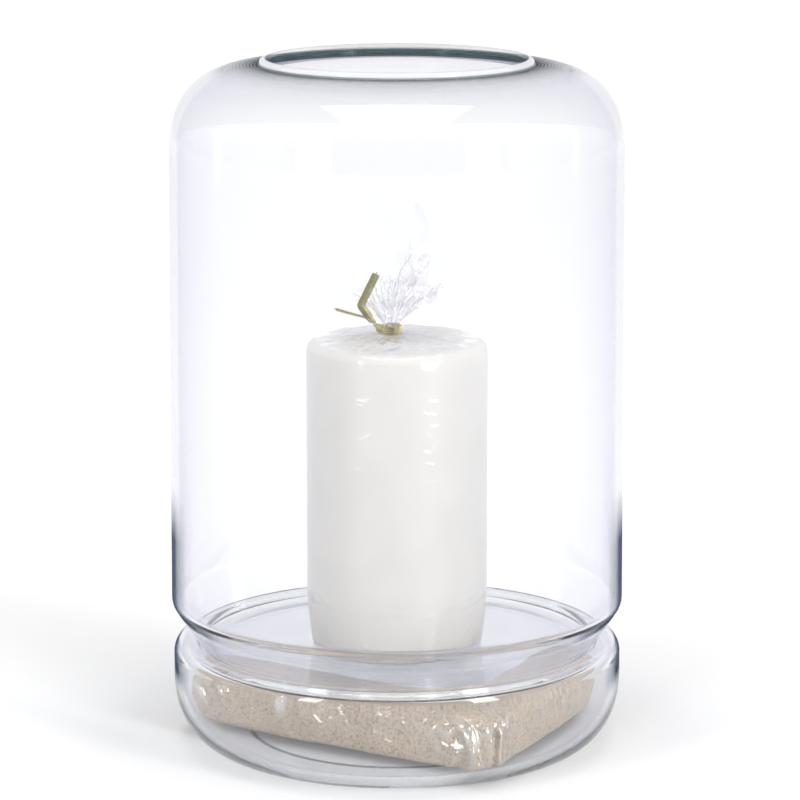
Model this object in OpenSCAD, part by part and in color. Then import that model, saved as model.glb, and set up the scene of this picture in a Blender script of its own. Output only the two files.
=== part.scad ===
// Hurricane candle lantern: a glass vessel seated in the mouth of a low glass bowl, a wrapped
// pillar candle standing on the vessel's floor, and a bag of sand lying in the bowl.
// Millimetres, +Z up, origin at the centre of the bowl's foot. The front is -Y.

/* [Base bowl] */
// How far the bowl's side stands inside the vessel's widest radius
bowl_inset = 0.7; // [0:0.1:1.5]
// Height of the bowl's rim above its foot
bowl_h = 41.1; // [39:0.1:46]
// Wall thickness of the bowl
bowl_wall = 3; // [2.4:0.1:3.6]
// Thickness of the bowl's floor at the contact ring
bowl_floor = 4; // [3:0.1:5]
// How far the lower corner runs in from the side to the foot
corner_run = 18.9; // [15:0.1:22]
// Width of the flat contact ring
foot_land = 10; // [7:0.5:14]
// Height of the raised middle of the underside
push_h = 1.2; // [0.6:0.1:1.8]
// Height over which the lower corner curves in to the foot
corner_rise = 26; // [20:0.5:28]
// Outer radius of the shoulder's corner
bowl_shoulder_r = 5; // [4:0.1:6]
// Width of the shoulder from the bowl's side in to its mouth
bowl_shoulder_w = 9.9; // [9:0.1:12]

/* [Hurricane vessel] */
// Height of the whole lantern to the top of the lip
total_h = 268.4; // [240:0.5:300]
// Outer radius just above the lower corner
vessel_r = 88.1; // [86:0.1:90]
// How much the radius shrinks up to the shoulder
vessel_taper = 0.8; // [0:0.1:1.2]
// Wall thickness of the vessel
vessel_wall = 3; // [2.4:0.1:3.4]
// Thickness of the vessel's floor
vessel_floor = 3.4; // [3:0.1:4.5]
// How far the vessel's foot drops below the bowl's rim
foot_drop = 5.9; // [4:0.1:6.4]
// Angle of the seating cone from the vertical
seat_angle = 34; // [30:1:40]
// Clearance between the seating cone and the bowl's rim
seat_gap = 0.3; // [0.2:0.05:0.5]
// Outer radius where the wall turns in to the seating cone
knee_r = 6.5; // [5:0.1:9]
// Outer radius where the seating cone turns in to the foot
heel_r = 6; // [5:0.1:7]
// Height of the curved shoulder
shoulder_h = 35; // [28:0.5:45]
// Squareness of the shoulder's curve
shoulder_power = 2.54; // [2:0.01:3]
// Outer radius of the lip
lip_r = 52.6; // [48:0.1:58]
// Thickness of the lip
lip_t = 3.8; // [3.4:0.1:4.6]
// Height of the lip above the shoulder
lip_h = 2.6; // [2.2:0.1:5]

/* [Candle] */
// Radius of the wax
candle_r = 35; // [30:0.5:38]
// Height of the wax
candle_h = 120; // [90:1:140]
// Radius of the rounded top edge
candle_edge = 4.2; // [2:0.1:6]
// How much the foot of the wax draws in
candle_draw = 2.2; // [0:0.1:3]
// Height over which the foot of the wax draws in
candle_draw_h = 25; // [10:1:40]
// Radius of the wick
wick_r = 1.1; // [0.8:0.1:1.2]
// Length of the wick folded flat on the wax
wick_fold = 5; // [4:0.5:6]

/* [Candle wrap] */
// Thickness of the clear film
film_t = 0.3; // [0.2:0.05:0.4]
// Slack between the wax and the film
film_slack = 0.15; // [0.1:0.05:0.3]
// Sideways place of the gathered neck
neck_x = -2.2; // [-4:0.1:4]
// Radius of the gathered neck
neck_r = 3.5; // [3:0.1:4]
// Height of the neck's middle above the film's flat top
neck_rise = 3.9; // [3.6:0.1:6]
// Height of the film tuft above the neck's middle
tuft_h = 32; // [26:0.5:34]

/* [Twist tie] */
// Radius of the wire core
wire_r = 0.3; // [0.25:0.05:0.4]
// Thickness of the gold film on each side of the wire
tie_film = 0.15; // [0.1:0.05:0.25]
// Width of the flat strip
tie_w = 3.6; // [3:0.1:4.4]
// Clearance between the neck and the tie
tie_gap = 0.1; // [0.05:0.05:0.2]

/* [Sand bag] */
// Clearance between the bag's corners and the bowl's wall
bag_gap = 2; // [1.5:0.1:4]
// Clearance between the top of the bag and the vessel's foot
bag_headroom = 7; // [6:0.1:10]
// Thickness of the bag's clear film
bag_film = 0.4; // [0.3:0.05:0.6]
// Width of the flat seal left round the sand
bag_seal = 2; // [1.5:0.1:2.5]
// Turn of the bag about the vertical
bag_turn = 0; // [-20:1:20]

/* [Hidden] */
$fn = 96;

// Radii of the bowl
bowl_r = vessel_r - bowl_inset;
bowl_inner_r = bowl_r - bowl_wall;
mouth_r = bowl_r - bowl_shoulder_w;
foot_r = bowl_r - corner_run;
push_r = foot_r - foot_land;

// Rim and seat
bead_r = bowl_wall / 2;
bead = [mouth_r + bead_r, bowl_h - bead_r];
// The seating cone is the line cos(a) * r - sin(a) * z = seat_k in the section
seat_k = bead[0] * cos(seat_angle) - bead[1] * sin(seat_angle) - bead_r - seat_gap;

// Heights of the vessel
vessel_z = bowl_h - foot_drop;
floor_z = vessel_z + vessel_floor;
shoulder_top = total_h - lip_h;
shoulder_z = shoulder_top - shoulder_h;
neck_fillet = 1.6;
lip_inner_r = lip_r - lip_t;
inner_edge_r = 1.5;

// Heights of the candle and its wrap
wax_z = floor_z + film_t + film_slack;
wax_top = wax_z + candle_h;
wrap_r = candle_r + film_slack + film_t;
wrap_top = wax_top + film_slack + film_t;
wrap_edge = candle_edge + film_slack + film_t;
neck_z = wrap_top + neck_rise;
neck_foot = neck_z - tie_w / 2 - tie_gap;
dome_rise = 1;

// Twist tie: tails as [x, z] from the ring outwards, measured from the middle of the neck
ring_r = neck_r + tie_gap + tie_film + wire_r;
tie_t = 2 * (tie_film + wire_r);
tail_a_y = tie_gap / 2 - ring_r;
tail_b_y = -0.8;
tail_a = [[-ring_start(tail_a_y), 0.25], [-8.1, 6], [-11.4, 10.3], [-5.8, 22]];
tail_b = [[-ring_start(tail_b_y), -0.25], [-8.6, 4.6], [-21.2, 7.8]];

// Tuft of film above the neck: every petal is [spread, side, height] from the middle of the
// neck, with spread and side in millimetres and height as a share of tuft_h
petal_tip_r = 0.7;
petal_root_r = 2.6;
petals = [
    [[-1, 3, 0.45], [5.5, 2, 0.98], [10, -1, 0.6]],
    [[4, -3, 0.45], [13, -2, 0.84], [15, -1, 0.52]],
    [[9, 2, 0.18], [20, 3, 0.56], [12, 5, 0.6]],
    [[-7, 4, 0.16], [-14.5, 5, 0.37], [-5, 4.5, 0.52]],
    [[-4, 8, 0.4], [5, 10, 0.6], [10, 8, 0.32]],
    [[1, -4.5, 0.2], [7, -7.5, 0.46], [2, -4, 0.55]]
];

// Sand bag: a long pouch bent round its middle. Its plan is two bent lines, outside and
// inside, through points given as [share of the bag's reach, direction in degrees].
bag_reach = bowl_inner_r - bag_gap;
bag_outside = around([[1.03, 180], [0.99, -65.7], [1.03, 17]]);
bag_inside = around([[0.9, 163], [0.54, -58], [0.85, 29]]);
bag_z = bowl_floor + seat_gap;
bag_top = vessel_z - bag_headroom;
bag_rest = 0.6;
bag_seam = 0.4;
bag_bend = 0.07;
bag_round = 0.12;
bag_end_power = 14;
bag_side_power = 4;
bag_top_power = 0.5;
bag_foot_power = 0.3;
bag_steps = 40;
bag_side_steps = 12;
edge_t = 0.1;

function ring_start(y) = sqrt(ring_r * ring_r - y * y);

// Points on an ellipse of half-sizes rx and rz about [x, z], from angle a0 to a1
function arc(x, z, rx, rz, a0, a1, steps = 12, power = 2) = [
    for (i = [0 : steps])
        let (a = a0 + (a1 - a0) * i / steps)
        [x + rx * rounded(cos(a), power), z + rz * rounded(sin(a), power)]
];
function rounded(v, power) = sign(v) * pow(abs(v), 2 / power);

// Middle of an arc of radius r that touches the seating cone, offset inwards by inset, and
// stands on the level z, and of one that touches the cone and the wall of radius wall_r
function heel_x(r, z, inset) =
    (seat_k - inset - r + (z + r) * sin(seat_angle)) / cos(seat_angle);
function knee_z(r, wall_r, inset) =
    ((wall_r - r) * cos(seat_angle) - (seat_k - inset - r)) / sin(seat_angle);

// Section of the bowl, from the middle of the underside round to the middle of the floor
function bowl_section() = concat(
    [[0, push_h], [push_r - push_h, push_h], [push_r, 0]],
    arc(foot_r, corner_rise, bowl_r - foot_r, corner_rise, -90, 0, 18),
    arc(bowl_r - bowl_shoulder_r, bowl_h - bowl_shoulder_r, bowl_shoulder_r, bowl_shoulder_r, 0, 90, 8),
    arc(bead[0], bead[1], bead_r, bead_r, 90, 270, 12),
    arc(bowl_r - bowl_shoulder_r, bowl_h - bowl_shoulder_r,
        bowl_shoulder_r - bowl_wall, bowl_shoulder_r - bowl_wall, 90, 0, 5),
    arc(foot_r, corner_rise, bowl_inner_r - foot_r, corner_rise - bowl_floor, 0, -90, 18),
    [[0, bowl_floor]]
);

// Outside of the vessel, from the middle of its foot up to the root of the lip
function vessel_outside() = concat(
    [[0, vessel_z]],
    arc(heel_x(heel_r, vessel_z, 0), vessel_z + heel_r, heel_r, heel_r, -90, -seat_angle, 7),
    arc(vessel_r - knee_r, knee_z(knee_r, vessel_r, 0), knee_r, knee_r, -seat_angle, 0, 5),
    arc(lip_r, shoulder_z, vessel_r - vessel_taper - lip_r, shoulder_h, 0, 84, 22, shoulder_power)
);

// Lip: a fillet out of the shoulder, a rounded top and the inner edge
function lip_section() = concat(
    arc(lip_r + neck_fillet, shoulder_top + neck_fillet / 2, neck_fillet, neck_fillet / 2, 270, 180, 5),
    arc(lip_r - lip_t / 2, total_h - lip_t / 2, lip_t / 2, lip_t / 2, 0, 180, 12),
    arc(lip_inner_r + inner_edge_r, shoulder_top - vessel_wall + inner_edge_r,
        inner_edge_r, inner_edge_r, 180, 270, 5)
);

// Inside of the vessel, from the lip down to the middle of the floor
function vessel_inside() =
    let (
        inner_r = vessel_r - vessel_wall,
        inner_knee = knee_r - vessel_wall,
        inner_heel = heel_r - 2
    )
    concat(
        arc(lip_inner_r + inner_edge_r, shoulder_z,
            inner_r - vessel_taper - lip_inner_r - inner_edge_r,
            shoulder_h - vessel_wall, 84, 0, 22, shoulder_power),
        arc(inner_r - inner_knee, knee_z(inner_knee, inner_r, vessel_wall),
            inner_knee, inner_knee, 0, -seat_angle, 5),
        arc(heel_x(inner_heel, floor_z, vessel_wall), floor_z + inner_heel,
            inner_heel, inner_heel, -seat_angle, -90, 7),
        [[0, floor_z]]
    );

// Sleeve of film with a nearly flat top, shrunk by inset on every side
function sleeve_section(inset) = concat(
    [[0, floor_z + inset], [wrap_r - inset, floor_z + inset]],
    arc(wrap_r - wrap_edge, wrap_top - wrap_edge, wrap_edge - inset, wrap_edge - inset, 0, 90, 8),
    [[wrap_r / 2, wrap_top + dome_rise - inset], [0, wrap_top + dome_rise - inset]]
);

// Film drawn up from the flat top to the neck, closed at the level top_z
function skirt_section(inset, top_z) = [
    [0, wrap_top], [14 - inset, wrap_top], [13 - inset, wrap_top + dome_rise - inset / 2],
    [8 - inset, wrap_top + 1.4 - inset / 2], [neck_r + 1.2 - inset, neck_foot - 0.3],
    [neck_r - inset, neck_foot], [neck_r - inset, top_z], [0, top_z]
];

// Height of the inside of the bowl at radius r
function bowl_inside(r) =
    let (share = min(max((r - foot_r) / (bowl_inner_r - foot_r), 0), 1))
    corner_rise - (corner_rise - bowl_floor) * sqrt(1 - share * share);

// Plan points of the bag, turned with it
function around(points) = [
    for (p = points) bag_reach * p[0] * [cos(p[1] + bag_turn), sin(p[1] + bag_turn)]
];

// Point at u, from -1 to 1, on a line of three points whose middle corner is rounded
function bent(path, u) =
    let (w = sqrt(u * u + bag_bend * bag_bend))
    path[1] + (w + u) / 2 * (path[2] - path[1]) + (w - u) / 2 * (path[0] - path[1]);

// Plan of the bag at u along it and v across it, from -1 to 1, and how full it is there
function bag_point(u, v) =
    let (along = u * sqrt(1 - bag_round * v * v))
    (1 - v) / 2 * bent(bag_outside, along) + (1 + v) / 2 * bent(bag_inside, along);
function bag_swell(u, v) =
    sqrt((1 - pow(abs(u), bag_end_power)) * (1 - pow(abs(v), bag_side_power)));

// Places of the grid's lines along half a length, as [place in the plan, place in the swell];
// sealed adds the flat margin
function bag_ticks(steps, half, skin, sealed) = concat(
    sealed ? [[-1, -1]] : [],
    [for (i = [0 : steps])
        let (t = sin(90 * (2 * i / steps - 1)))
        [t * (1 - (bag_seal - 0.75 * skin) / half), t]],
    sealed ? [[1, 1]] : []
);

// Closed pouch grown by skin on every face, plump from its flat foot to its seam and above,
// and held off the bowl's curved corner
module pouch(skin, sealed) {
    room = bag_top - bag_z - 2 * bag_film;
    seam_z = bag_z + bag_film + bag_seam * room;
    columns = bag_ticks(bag_steps, norm(bag_outside[0] - bag_outside[1]), skin, sealed);
    rows = bag_ticks(bag_side_steps, norm(bag_outside[0] - bag_inside[0]) / 2, skin, sealed);
    m = len(columns);
    n = len(rows);
    points = [
        for (side = [-1, 1], v = rows, u = columns)
            let (
                xy = bag_point(u[0], v[0]),
                swell = bag_swell(u[1], v[1]),
                rest = bowl_inside(norm(xy) + bag_rest) + bag_rest + bag_film,
                foot = max(seam_z - bag_seam * room * pow(swell, bag_foot_power), rest),
                top = max(seam_z + (1 - bag_seam) * room * pow(swell, bag_top_power), foot)
            )
            [xy[0], xy[1], side < 0 ? foot - skin : top + skin]
    ];
    layer = m * n;
    rim = concat(
        [for (i = [0 : m - 2]) i], [for (j = [0 : n - 2]) j * m + m - 1],
        [for (i = [0 : m - 2]) layer - 1 - i], [for (j = [0 : n - 2]) (n - 1 - j) * m]
    );
    faces = concat(
        [for (j = [0 : n - 2], i = [0 : m - 2], k = [0, 1])
            let (a = j * m + i)
            k == 0 ? [a, a + 1, a + m] : [a + 1, a + m + 1, a + m]],
        [for (j = [0 : n - 2], i = [0 : m - 2], k = [0, 1])
            let (a = layer + j * m + i)
            k == 0 ? [a, a + m, a + 1] : [a + 1, a + m, a + m + 1]],
        [for (k = [0 : len(rim) - 1], half = [0, 1])
            let (a = rim[k], b = rim[(k + 1) % len(rim)])
            half == 0 ? [a, layer + a, b] : [b, layer + a, layer + b]]
    );
    polyhedron(points, faces, convexity = 6);
}

// A straight piece between two [x, z] points at depth y, from the first point to the second
module along(from, to, y) {
    run = to - from;
    translate([from[0], y, from[1]])
        rotate([0, -atan2(run[1], run[0]), 0])
            children();
}

// Each length of wire runs on past its bend by the wire's radius
module tail_wire(path, y) {
    last = len(path) - 2;
    for (i = [0 : last]) {
        lap = i < last ? wire_r : 0;
        along(path[i], path[i + 1], y)
            rotate([0, 90, 0])
                cylinder(r = wire_r, h = norm(path[i + 1] - path[i]) + lap, $fn = 8);
    }
}

// Outline of a ribbon of the given half width along a path, with mitred bends
function side_step(path, i) =
    let (
        before = path[max(i, 1)] - path[max(i, 1) - 1],
        after = path[min(i + 1, len(path) - 1)] - path[min(i, len(path) - 2)],
        a = before / norm(before),
        b = after / norm(after)
    )
    [-a[1] - b[1], a[0] + b[0]] / (1 + a * b);
function ribbon(path, half) = concat(
    [for (i = [0 : len(path) - 1]) path[i] + half * side_step(path, i)],
    [for (i = [len(path) - 1 : -1 : 0]) path[i] - half * side_step(path, i)]
);

// Flat strip round the wire; deep is its size along Y, tall its size across the path
module tail_strip(path, y, deep, tall) {
    translate([0, y + deep / 2, 0])
        rotate([90, 0, 0])
            linear_extrude(deep)
                polygon(ribbon(path, tall / 2));
}

module base_bowl() {
    color("lavender", 0.3)
        rotate_extrude()
            polygon(bowl_section());
}

module hurricane_vessel() {
    color("lavender", 0.3)
        rotate_extrude()
            polygon(concat(vessel_outside(), lip_section(), vessel_inside()));
}

module candle_wax() {
    color("white")
        difference() {
            rotate_extrude()
                polygon(concat(
                    [[0, wax_z], [candle_r - candle_draw, wax_z], [candle_r, wax_z + candle_draw_h]],
                    arc(candle_r - candle_edge, wax_top - candle_edge, candle_edge, candle_edge, 0, 90, 8),
                    [[0, wax_top]]
                ));
            translate([0, 0, wax_z - 1])
                cylinder(r = wick_r, h = candle_h + 2, $fn = 32);
        }
}

module candle_wick() {
    color("ivory")
        union() {
            translate([0, 0, wax_z])
                cylinder(r = wick_r, h = candle_h + wick_r + 0.1, $fn = 32);
            translate([0, 0, wax_top + wick_r + 0.1])
                sphere(r = wick_r * 1.05, $fn = 32);
            translate([0, 0, wax_top + wick_r + 0.1])
                rotate([0, -90, 0])
                    cylinder(r = wick_r, h = wick_fold, $fn = 32);
        }
}

module petal(tips) {
    hull() {
        translate([neck_x, 0, neck_z + tie_w / 2 + petal_root_r])
            sphere(r = petal_root_r, $fn = 16);
        for (tip = tips) {
            translate([neck_x + tip[0], tip[1], neck_z + tip[2] * tuft_h])
                sphere(r = petal_tip_r, $fn = 12);
        }
    }
}

module candle_wrap() {
    stem_top = neck_z + tie_w / 2 + petal_root_r;
    color("whitesmoke", 0.4) {
        difference() {
            union() {
                rotate_extrude()
                    polygon(sleeve_section(0));
                translate([neck_x, 0, 0])
                    rotate_extrude()
                        polygon(skirt_section(0, stem_top));
            }
            rotate_extrude()
                polygon(sleeve_section(film_t));
            translate([neck_x, 0, 0])
                rotate_extrude()
                    polygon(skirt_section(film_t, neck_z - 1.2));
        }
        for (tips = petals) {
            petal(tips);
        }
    }
}

module twist_tie_wire() {
    color("silver")
        union() {
            translate([neck_x, 0, neck_z])
                rotate_extrude()
                    translate([ring_r, 0])
                        circle(r = wire_r, $fn = 8);
            translate([neck_x, 0, neck_z]) {
                tail_wire(tail_a, tail_a_y);
                tail_wire(tail_b, tail_b_y);
            }
        }
}

module twist_tie_strip() {
    color("goldenrod")
        difference() {
            translate([neck_x, 0, neck_z]) {
                rotate_extrude()
                    translate([ring_r - tie_t / 2, -tie_w / 2])
                        square([tie_t, tie_w]);
                tail_strip(tail_a, tail_a_y, tie_t, tie_w);
                tail_strip(tail_b, tail_b_y, tie_w, tie_t);
            }
            twist_tie_wire();
        }
}

module sand_fill() {
    color("tan")
        pouch(edge_t, false);
}

module sand_bag() {
    color("gainsboro", 0.4)
        difference() {
            pouch(bag_film, true);
            sand_fill();
        }
}

base_bowl();
hurricane_vessel();
candle_wax();
candle_wick();
candle_wrap();
twist_tie_strip();
twist_tie_wire();
sand_bag();
sand_fill();
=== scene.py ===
"""Hurricane candle lantern: a clear glass vessel seated in the mouth of a low glass bowl, with a
wrapped pillar candle on the vessel's floor and a bag of sand in the bowl. Lengths are in metres."""

import math

import bmesh
import bpy
import numpy as np
from bpy.props import FloatProperty, FloatVectorProperty, IntProperty, PointerProperty
from bpy.types import Operator, Panel, PropertyGroup
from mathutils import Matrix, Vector, noise


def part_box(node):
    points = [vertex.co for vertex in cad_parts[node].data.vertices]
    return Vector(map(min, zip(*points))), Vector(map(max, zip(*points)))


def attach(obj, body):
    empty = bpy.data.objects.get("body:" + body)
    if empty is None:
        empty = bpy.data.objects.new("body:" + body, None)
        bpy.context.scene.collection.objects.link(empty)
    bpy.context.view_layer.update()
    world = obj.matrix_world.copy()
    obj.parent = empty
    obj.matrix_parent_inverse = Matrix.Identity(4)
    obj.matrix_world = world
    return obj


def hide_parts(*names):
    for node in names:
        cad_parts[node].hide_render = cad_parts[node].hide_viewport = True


bl_info = {
    "name": "Hurricane Candle Lantern",
    "version": (1, 0, 0),
    "blender": (4, 5, 0),
    "location": "View3D > Sidebar > Lantern",
    "description": "Builds the glass, candle, wrap, twist tie and sand bag of a hurricane lantern",
    "category": "Object",
}

MM = 0.001
WHITE = (1.0, 1.0, 1.0)
UP = np.array([0.0, 0.0, 1.0])

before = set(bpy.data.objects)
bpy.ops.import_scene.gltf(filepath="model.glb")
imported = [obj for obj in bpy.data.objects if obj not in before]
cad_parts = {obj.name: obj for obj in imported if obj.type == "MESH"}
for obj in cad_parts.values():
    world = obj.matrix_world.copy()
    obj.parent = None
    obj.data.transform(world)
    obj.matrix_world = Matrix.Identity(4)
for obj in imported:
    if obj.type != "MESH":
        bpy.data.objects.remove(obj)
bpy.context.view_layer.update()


# ---------------------------------------------------------------- properties


def length(name, description, default):
    """A size in metres."""
    return FloatProperty(
        name=name, description=description, default=default, unit="LENGTH", precision=4
    )


def angle(name, description, degrees):
    """An angle, given in degrees."""
    return FloatProperty(
        name=name, description=description, default=math.radians(degrees), subtype="ANGLE"
    )


def number(name, description, default):
    """A plain number of 0 or more."""
    return FloatProperty(name=name, description=description, default=default, min=0.0)


def count(name, description, default):
    """A whole number of 3 or more."""
    return IntProperty(name=name, description=description, default=default, min=3)


def colour(name, description, hexcode):
    """A colour given as sRGB hex and kept as linear."""
    return FloatVectorProperty(
        name=name, description=description, default=linear(hexcode), subtype="COLOR", size=3
    )


def linear(hexcode):
    """Turns an sRGB hex colour such as "e4e0d0" into linear red, green and blue."""
    parts = [int(hexcode[i : i + 2], 16) / 255 for i in (0, 2, 4)]
    return [p / 12.92 if p <= 0.04045 else ((p + 0.055) / 1.055) ** 2.4 for p in parts]


def top_of(node):
    """The highest corner of a CAD node's box."""
    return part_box(node)[1]


def foot_of(node):
    """The lowest corner of a CAD node's box."""
    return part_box(node)[0]


class GlassSettings(PropertyGroup):
    """Sizes and finish of the vessel and the bowl."""

    vessel_radius: length("Vessel radius", "Widest outer radius", top_of("hurricane_vessel").x)
    taper: length("Taper", "How much the radius shrinks up to the shoulder", 0.8 * MM)
    wall: length("Wall", "Thickness of the glass", 3 * MM)
    vessel_floor: length("Vessel floor", "Thickness of the vessel's floor", 3.4 * MM)
    foot_z: length("Foot", "Height of the vessel's foot", foot_of("hurricane_vessel").z)
    top_z: length("Top", "Height of the lip's top", top_of("hurricane_vessel").z)
    seat_angle: angle("Seat angle", "Seating cone's angle from the vertical", 34)
    seat_gap: length("Seat gap", "Gap between the seating cone and the rim", 0.3 * MM)
    knee: length("Knee", "Radius of the corner above the seating cone", 6.5 * MM)
    heel: length("Heel", "Radius of the corner below the seating cone", 6 * MM)
    shoulder_height: length("Shoulder height", "Height of the curved shoulder", 35 * MM)
    shoulder_power: number("Shoulder power", "Squareness of the shoulder's curve", 2.54)
    lip_radius: length("Lip radius", "Outer radius of the lip", 52.6 * MM)
    lip_thickness: length("Lip thickness", "Thickness of the fire-polished lip", 3.8 * MM)
    lip_height: length("Lip height", "Height of the lip above the shoulder", 2.6 * MM)
    bowl_radius: length("Bowl radius", "Outer radius of the bowl's side", top_of("base_bowl").x)
    bowl_height: length("Bowl height", "Height of the bowl's rim", top_of("base_bowl").z)
    bowl_floor: length("Bowl floor", "Thickness of the bowl's floor", 4 * MM)
    bowl_corner: length("Bowl corner", "Radius of the bowl's upper corner", 5 * MM)
    bowl_shoulder: length("Bowl shoulder", "Width from the side in to the mouth", 9.9 * MM)
    corner_run: length("Corner run", "How far the lower corner runs in", 18.9 * MM)
    corner_rise: length("Corner rise", "How high the lower corner rises", 26 * MM)
    foot_land: length("Foot land", "Width of the contact ring", 10 * MM)
    push_height: length("Push-up", "Height of the raised middle of the underside", 1.2 * MM)
    steps: count("Steps around", "Faces around the glass", 192)
    # The next two heights bound the painted shade: a darker tint up the vessel's lower wall and on
    # the bowl's upper corner, seen edge on
    edge_shade_top: length("Thick top", "Height where the vessel's thick lower wall ends", 104 * MM)
    edge_shade_foot: length("Thick foot", "Height where the bowl's thick corner starts", 24 * MM)
    # The next two settings place the dark rings of painted shade round the lip's root
    root_reach: length("Root reach", "How far the lip's thick root runs out", 22 * MM)
    ripple: length("Ripple", "Spacing of the faint rings round the lip's root", 1.3 * MM)
    body_tint: colour("Body", "Tint where the glass is seen face on", "fefeff")
    edge_tint: colour("Edge", "Tint where the glass is seen edge on", "bfb9d9")
    # Painted shade: a darker tint edge on up the lower glass, and dark rings round the lip's root
    # and at the foot's step
    painted_edge_shade: colour("Thick", "Tint of the thick lower glass edge on", "9c9eaf")
    painted_ring_shade: colour("Root", "Tint at the root of the lip and the step of the foot", "46545b")
    light_tint: colour("Light", "What lamps keep of their light through the glass", "fcfcfc")
    veil_tint: colour("Veil", "What lamps keep of it where they graze the glass", "cbcbd0")
    depth_tint: colour("Depth", "Colour that long paths in the glass take", "a8d4cc")
    depth_density: number("Density", "How fast the glass takes that colour", 7.0)


class CandleSettings(PropertyGroup):
    """Sizes and finish of the wax pillar and its wick."""

    radius: length("Radius", "Radius of the wax", top_of("candle_wax").x)
    foot_z: length("Foot", "Height of the wax's foot", foot_of("candle_wax").z)
    top_z: length("Top", "Height of the wax's top", top_of("candle_wax").z)
    edge: length("Edge", "Radius of the rounded top edge", 4.2 * MM)
    draw: length("Draw", "How much the foot of the wax draws in", 2.2 * MM)
    draw_height: length("Draw height", "Height over which the foot draws in", 25 * MM)
    wick_radius: length("Wick radius", "Radius of the braided wick", 1.1 * MM)
    wick_fold: length("Wick fold", "Length of wick lying on the wax", 5 * MM)
    wax: colour("Wax", "Colour of the wax", "f4f1ea")
    wax_cloud: colour("Wax cloud", "Colour of the wax's faint mottling", "eeece5")
    cotton: colour("Cotton", "Colour of the waxed cotton", "efe9da")


class WrapSettings(PropertyGroup):
    """Sizes and finish of the film round the candle."""

    slack: length("Slack", "Room between the wax and the film", 0.25 * MM)
    neck_x: length("Neck place", "Sideways place of the gathered neck", -2.2 * MM)
    neck_radius: length("Neck radius", "Radius of the gathered neck", 3.2 * MM)
    neck_z: length("Neck height", "Height of the middle of the neck", 163.4 * MM)
    around: count("Around", "Faces round the film", 480)
    pleats: count("Pleats", "Pleats drawn in to the neck", 19)
    width: length("Cut width", "Width of the film before wrapping", 225 * MM)
    height: length("Cut height", "Height of the film before wrapping", 205 * MM)
    seed: IntProperty(name="Seed", description="Which set of creases", default=7)
    film: colour("Film", "Colour of the film's body", "efedf6")
    # Painted highlight: the white that the film's creases take, in place of glints
    crease: colour("Crease", "Colour of a sharp crease", "ffffff")


class TieSettings(PropertyGroup):
    """Sizes and finish of the twist tie."""

    width: length("Width", "Width of the flat strip", 3.1 * MM)
    film: length("Film", "Thickness of the foil", 0.16 * MM)
    core: length("Core", "Radius of the wire core", 0.3 * MM)
    ring: length("Ring", "Radius of the turn round the neck", 4.05 * MM)
    # Painted reflection: the foil is tinted dark olive where it faces the eye and pale gold where
    # it curves away
    gold: colour("Gold", "Colour of the foil where it curves away", "e4d8a4")
    facing_shade: colour("Olive", "Colour of the foil where it faces the eye", "605e3a")
    steel: colour("Steel", "Colour of the cut wire", "b9bcc0")


class SandSettings(PropertyGroup):
    """Sizes and finish of the bag and its sand."""

    reach: length("Reach", "Reach of the bag from the middle of the bowl", 85 * MM)
    half_length: length("Half length", "Half of the bag's length along its bend", 118 * MM)
    low: length("Low", "Height of the bag's lowest point", foot_of("sand_bag").z)
    high: length("High", "Height of the bag's highest point", top_of("sand_bag").z)
    film: length("Film", "Room between the film and the sand", 0.25 * MM)
    seam: length("Seam", "Height of the seam round the bag", 13.9 * MM)
    growth: number("Growth", "Width of the empty flat pouch over that of the filled one", 1.3)
    bend: number("Bend", "Roundness of the bend in plan", 0.07)
    rounding: number("Rounding", "How much the ends are rounded in plan", 0.12)
    top_power: number("Top", "Plumpness above the seam, lower being plumper", 0.5)
    foot_power: number("Foot", "Plumpness below the seam, lower being plumper", 0.3)
    pucker: length("Pucker", "Depth of the puckers along the seam", 1.7 * MM)
    pucker_size: length("Pucker size", "Distance from one pucker to the next", 3.6 * MM)
    lump: length("Lump", "Size of the lumps that the sand makes", 14 * MM)
    steps: count("Steps", "Faces along the bag", 170)
    side_steps: count("Side steps", "Faces across the bag", 36)
    seed: IntProperty(name="Seed", description="Which set of puckers", default=3)
    sand: colour("Sand", "Main colour of the sand", "e6d2be")
    dark_grain: colour("Dark grain", "Colour of the darker grains", "8d8072")
    pale_grain: colour("Pale grain", "Colour of the paler grains", "e2d8c9")
    film_body: colour("Bag film", "Colour of the film's body", "f4eee2")
    # Painted highlight on the bag film's creases and puckers
    glint: colour("Glint", "Colour of the film's creases", "fbf8f4")


class StageSettings(PropertyGroup):
    """The camera, the lamps and the floor."""

    lens: FloatProperty(name="Lens", description="Focal length in millimetres", default=168.5)
    camera_back: length("Camera back", "Distance of the camera in front of the lantern", 1.424)
    camera_z: length("Camera height", "Height of the camera", 0.4274)
    camera_x: length("Camera side", "Sideways place of the camera", 1.2 * MM)
    camera_pitch: angle("Camera pitch", "How far the camera looks down", 11.6)
    ambient: number("Ambient", "Strength of the soft light from all round", 0.44)
    right: number("Right", "Power of the softbox on the right, in watts", 7.0)
    left: number("Left", "Power of the softbox on the left, in watts", 4.0)
    top: number("Top", "Power of the softbox overhead, in watts", 9.1)
    lift: number("Lift", "How much the far floor is lifted towards white", 0.64)
    near_lift: number("Near lift", "How much the floor under the lantern is lifted", 0.05)
    floor: colour("Floor", "Colour of the floor", "f6f6f7")
    ceiling: colour("Ceiling", "Colour of the ceiling in gloss and glass", "dddde1")
    room: colour("Room", "Colour of the room behind the camera in gloss and glass", "cbcbce")


# ---------------------------------------------------------------- small tools


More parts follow.
